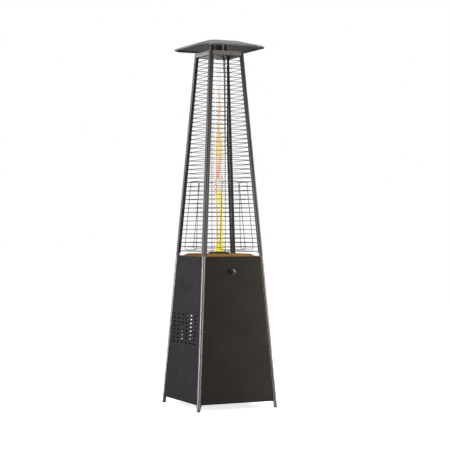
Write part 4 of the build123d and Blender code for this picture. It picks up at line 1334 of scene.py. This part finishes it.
def build_strands(work):
    """Low foot, tall bright strand, and the curl beside its upper end."""
    for i, points in enumerate(BRIGHT_STRANDS):
        strand(work, points, 1.3 * i)
    rise, side, reach, thick = 0.345, -0.006, 0.0095, 0.0042
    steps, sides = 28, 12
    loop = []
    for i in range(steps):
        a = math.tau * i / steps
        out = view_right() * math.cos(a) + Vector((0, 0, 1.5)) * math.sin(a)
        middle = view_right() * side + Vector((0, 0, SEAT_TOP + rise)) + out * reach
        size = thick * (1 + 0.25 * math.sin(2 * a))
        ring = []
        for k in range(sides):
            b = math.tau * k / sides
            ring.append(work.verts.new(middle + out * size * math.cos(b) + view_deep() * size * math.sin(b)))
        loop.append(ring)
    skin_rings(work, [*loop, loop[0]], sides)


def build_plume(work):
    """Faint wisps above the strands, with small flecks beside them."""
    for i, points in enumerate(FAINT_STRANDS):
        strand(work, points, 2.1 * i + 0.7, flat=0.6)
    rng = random.Random(11)
    for i in range(9):
        low = rng.uniform(0.40, 0.92)
        side = rng.uniform(-0.018, 0.014)
        size = rng.uniform(0.0015, 0.003)
        tall = rng.uniform(0.025, 0.06)
        lean = rng.uniform(-0.004, 0.004)
        points = ((low, side, 0.0), (low + tall / 2, side + lean, size), (low + tall, side, 0.0))
        strand(work, points, i, sides=10)


def flame_material(name, bright):
    """Glowing gas: yellow at the foot, orange to red above, thin at its edges."""
    material, tree, shader, place = new_material(name)
    rise = math_node(tree, "SUBTRACT", height_of(tree, place), SEAT_TOP)
    share = math_node(tree, "DIVIDE", rise, sizes().flame_height)
    lick = noise(tree, scaled(tree, place, (70, 70, 16)), 1.0, 3.0)
    wavered = math_node(tree, "ADD", share, mapped(tree, lick, 0.3, 0.7, -0.05, 0.05))
    hot = tuple(colours().flame)
    if bright:
        stops = [(0.0, hot), (0.10, (1.0, 0.88, 0.05)), (0.22, (1.0, 0.80, 0.05)), (0.33, (1.0, 0.84, 0.10))]
    else:
        stops = [
            (0.04, (1.0, 0.74, 0.08)),
            (0.12, (1.0, 0.52, 0.14)),
            (0.24, (1.0, 0.60, 0.10)),
            (0.31, (1.0, 0.84, 0.08)),
            (0.38, (1.0, 0.40, 0.16)),
            (0.50, (1.0, 0.32, 0.15)),
            (0.60, (1.0, 0.66, 0.08)),
            (0.72, (1.0, 0.55, 0.10)),
            (0.95, (1.0, 0.42, 0.16)),
        ]
    glow = ramp(tree, wavered, stops)
    join(tree, glow, shader.inputs["Emission Color"])
    shader.inputs["Emission Strength"].default_value = 1.0
    shader.inputs["Base Color"].default_value = (0, 0, 0, 1)
    shader.inputs["Roughness"].default_value = 1.0
    shader.inputs["Specular IOR Level"].default_value = 0.0
    facing = add(tree, "ShaderNodeLayerWeight")
    facing.inputs["Blend"].default_value = 0.35
    body = math_node(tree, "SUBTRACT", 1.0, facing.outputs["Facing"])
    thin = mapped(tree, body, 0.05, 0.6, 0.0, 1.0 if bright else 0.6)
    patchy = mapped(tree, lick, 0.35, 0.6, 0.6 if bright else 0.2, 1.0)
    join(tree, math_node(tree, "MULTIPLY", thin, patchy, clamp=True), shader.inputs["Alpha"])
    return material


# ------------------------------------------------------------------ studio
def make_floor():
    """Round pale floor with a matte surface."""
    work = bmesh.new()
    bmesh.ops.create_circle(work, cap_ends=True, segments=96, radius=60.0)
    mesh = bpy.data.meshes.new("studio_floor")
    work.to_mesh(mesh)
    work.free()
    floor = new_object("studio_floor", mesh)
    material, tree, shader, place = new_material("pale_floor")
    grain = noise(tree, place, 3.0, 4.0)
    seen = seen_directly(tree)
    pale = blended(tree, grain, (0.50, 0.50, 0.50), (0.53, 0.53, 0.53))
    join(tree, blended(tree, seen, (0.22, 0.22, 0.22), pale), shader.inputs["Base Color"])
    shader.inputs["Emission Color"].default_value = (1, 1, 1, 1)
    join(tree, math_node(tree, "MULTIPLY", seen, 0.78), shader.inputs["Emission Strength"])
    shader.inputs["Roughness"].default_value = 0.9
    shader.inputs["Specular IOR Level"].default_value = 0.0
    mesh.materials.append(material)


def make_world():
    """White where it is seen directly; for all other rays a soft grey that grows lighter upwards."""
    world = bpy.data.worlds.new("studio")
    world.use_nodes = True
    bpy.context.scene.world = world
    tree = world.node_tree
    shade = tree.nodes["Background"]
    place = add(tree, "ShaderNodeTexCoord").outputs["Generated"]
    height = mapped(tree, height_of(tree, place), -0.2, 0.9, 0.0, 1.0)
    stops = [(0.0, (0.16, 0.16, 0.16)), (0.35, (0.20, 0.20, 0.205)), (1.0, (0.55, 0.56, 0.58))]
    studio = ramp(tree, height, stops)
    seen = seen_directly(tree)
    join(tree, blended(tree, seen, studio, (1.0, 1.0, 1.0)), shade.inputs["Color"])


def area_light(name, place, aim, size, energy, colour, mirrored):
    """Soft rectangular lamp aimed at a point, which polished faces may mirror."""
    lamp = bpy.data.lights.new(name, "AREA")
    lamp.shape = "RECTANGLE"
    lamp.size, lamp.size_y = size
    lamp.energy = energy
    lamp.color = colour
    made = bpy.data.objects.new(name, lamp)
    made.location = place
    made.rotation_euler = (Vector(aim) - Vector(place)).to_track_quat("-Z", "Y").to_euler()
    made.visible_camera = False
    made.visible_transmission = False
    made.visible_glossy = mirrored
    bpy.context.scene.collection.objects.link(made)


def make_lights():
    """Soft boxes round the heater and the glow of the flame."""
    for name, place, aim, size, energy, colour, mirrored in (
        ("left_box", (-3.4, -0.5, 1.3), (0, 0, 1.1), (0.8, 3.2), 94, (0.90, 0.89, 1.0), True),
        ("left_rear_box", (-2.4, 2.4, 1.3), (0, 0, 0.9), (1.2, 3.0), 28, (0.88, 0.86, 1.0), True),
        ("left_high_box", (-2.2, 2.4, 2.7), (0, 0, 1.9), (1.4, 1.2), 14, (0.94, 0.94, 1.0), True),
        ("right_box", (2.6, -2.9, 1.1), (0, 0, 0.8), (0.7, 2.8), 62, (1.0, 0.93, 0.86), True),
        ("right_near_box", (1.0, -0.78, 0.7), (0.2, -0.2, 0.5), (0.25, 1.5), 37, (1.0, 0.91, 0.82), False),
        ("left_near_box", (-1.3, 0.1, 0.55), (-0.2, 0.0, 0.4), (0.3, 1.2), 10, (0.84, 0.81, 1.0), False),
        ("top_box", (0.0, -0.6, 5.0), (0, 0, 0), (4.0, 4.0), 150, (1.0, 1.0, 1.0), True),
        ("rear_box", (2.6, 2.6, 1.8), (0, 0, 1.1), (1.2, 2.8), 75, (1.0, 1.0, 1.0), True),
    ):
        area_light(name, place, aim, size, energy, colour, mirrored)
    glows = (("flame_glow_low", 1.02, 3.0), ("flame_glow_middle", 1.28, 1.4), ("flame_glow_high", 1.62, 0.6))
    for name, z, energy in glows:
        glow = bpy.data.lights.new(name, "POINT")
        glow.energy = energy
        glow.color = (1.0, 0.5, 0.14)
        glow.shadow_soft_size = 0.02
        made = bpy.data.objects.new(name, glow)
        made.location = (0, 0, z)
        made.visible_glossy = False
        made.visible_transmission = False
        bpy.context.scene.collection.objects.link(made)


def make_camera():
    """Long lens at standing chest height, level, a quarter to the left of the front."""
    lens = bpy.data.cameras.new("camera")
    lens.lens = CAMERA_LENS
    lens.sensor_width = 36.0
    lens.clip_end = 200.0
    camera = bpy.data.objects.new("camera", lens)
    camera.location = Vector((0, 0, CAMERA_HEIGHT))
    camera.location += view_right() * CAMERA_SIDE - view_deep() * CAMERA_DISTANCE
    camera.rotation_euler = view_deep().to_track_quat("-Z", "Y").to_euler()
    bpy.context.scene.collection.objects.link(camera)
    bpy.context.scene.camera = camera
    bpy.context.scene.view_settings.view_transform = "Standard"


# ------------------------------------------------------------------ add-on
STEPS = (
    HEATER_OT_frame,
    HEATER_OT_cabinet,
    HEATER_OT_deck,
    HEATER_OT_top,
    HEATER_OT_guards,
    HEATER_OT_screws,
    HEATER_OT_control,
    HEATER_OT_spring,
    HEATER_OT_gas,
    HEATER_OT_flame,
    HEATER_OT_stage,
)


class HEATER_PT_panel(Panel):
    """Steps that finish the heater, in their order"""

    bl_idname = "HEATER_PT_panel"
    bl_label = "Patio heater"
    bl_space_type = "VIEW_3D"
    bl_region_type = "UI"
    bl_category = "Heater"

    def draw(self, context):
        for group in (context.scene.heater_sizes, context.scene.heater_colours):
            column = self.layout.column()
            for name in group.bl_rna.properties.keys():
                if name not in ("name", "rna_type"):
                    column.prop(group, name)
        for step in STEPS:
            self.layout.operator(step.bl_idname)


CLASSES = (HeaterSizes, HeaterColours, *STEPS, HEATER_PT_panel)


def register():
    """Register the classes and their settings."""
    for item in CLASSES:
        bpy.utils.register_class(item)
    bpy.types.Scene.heater_sizes = PointerProperty(type=HeaterSizes)
    bpy.types.Scene.heater_colours = PointerProperty(type=HeaterColours)


def unregister():
    """Take the classes and their settings away."""
    del bpy.types.Scene.heater_colours
    del bpy.types.Scene.heater_sizes
    for item in reversed(CLASSES):
        bpy.utils.unregister_class(item)


def main():
    """Run every step in order."""
    register()
    for step in STEPS:
        area, name = step.bl_idname.split(".")
        getattr(getattr(bpy.ops, area), name)()


if __name__ == "__main__":
    main()
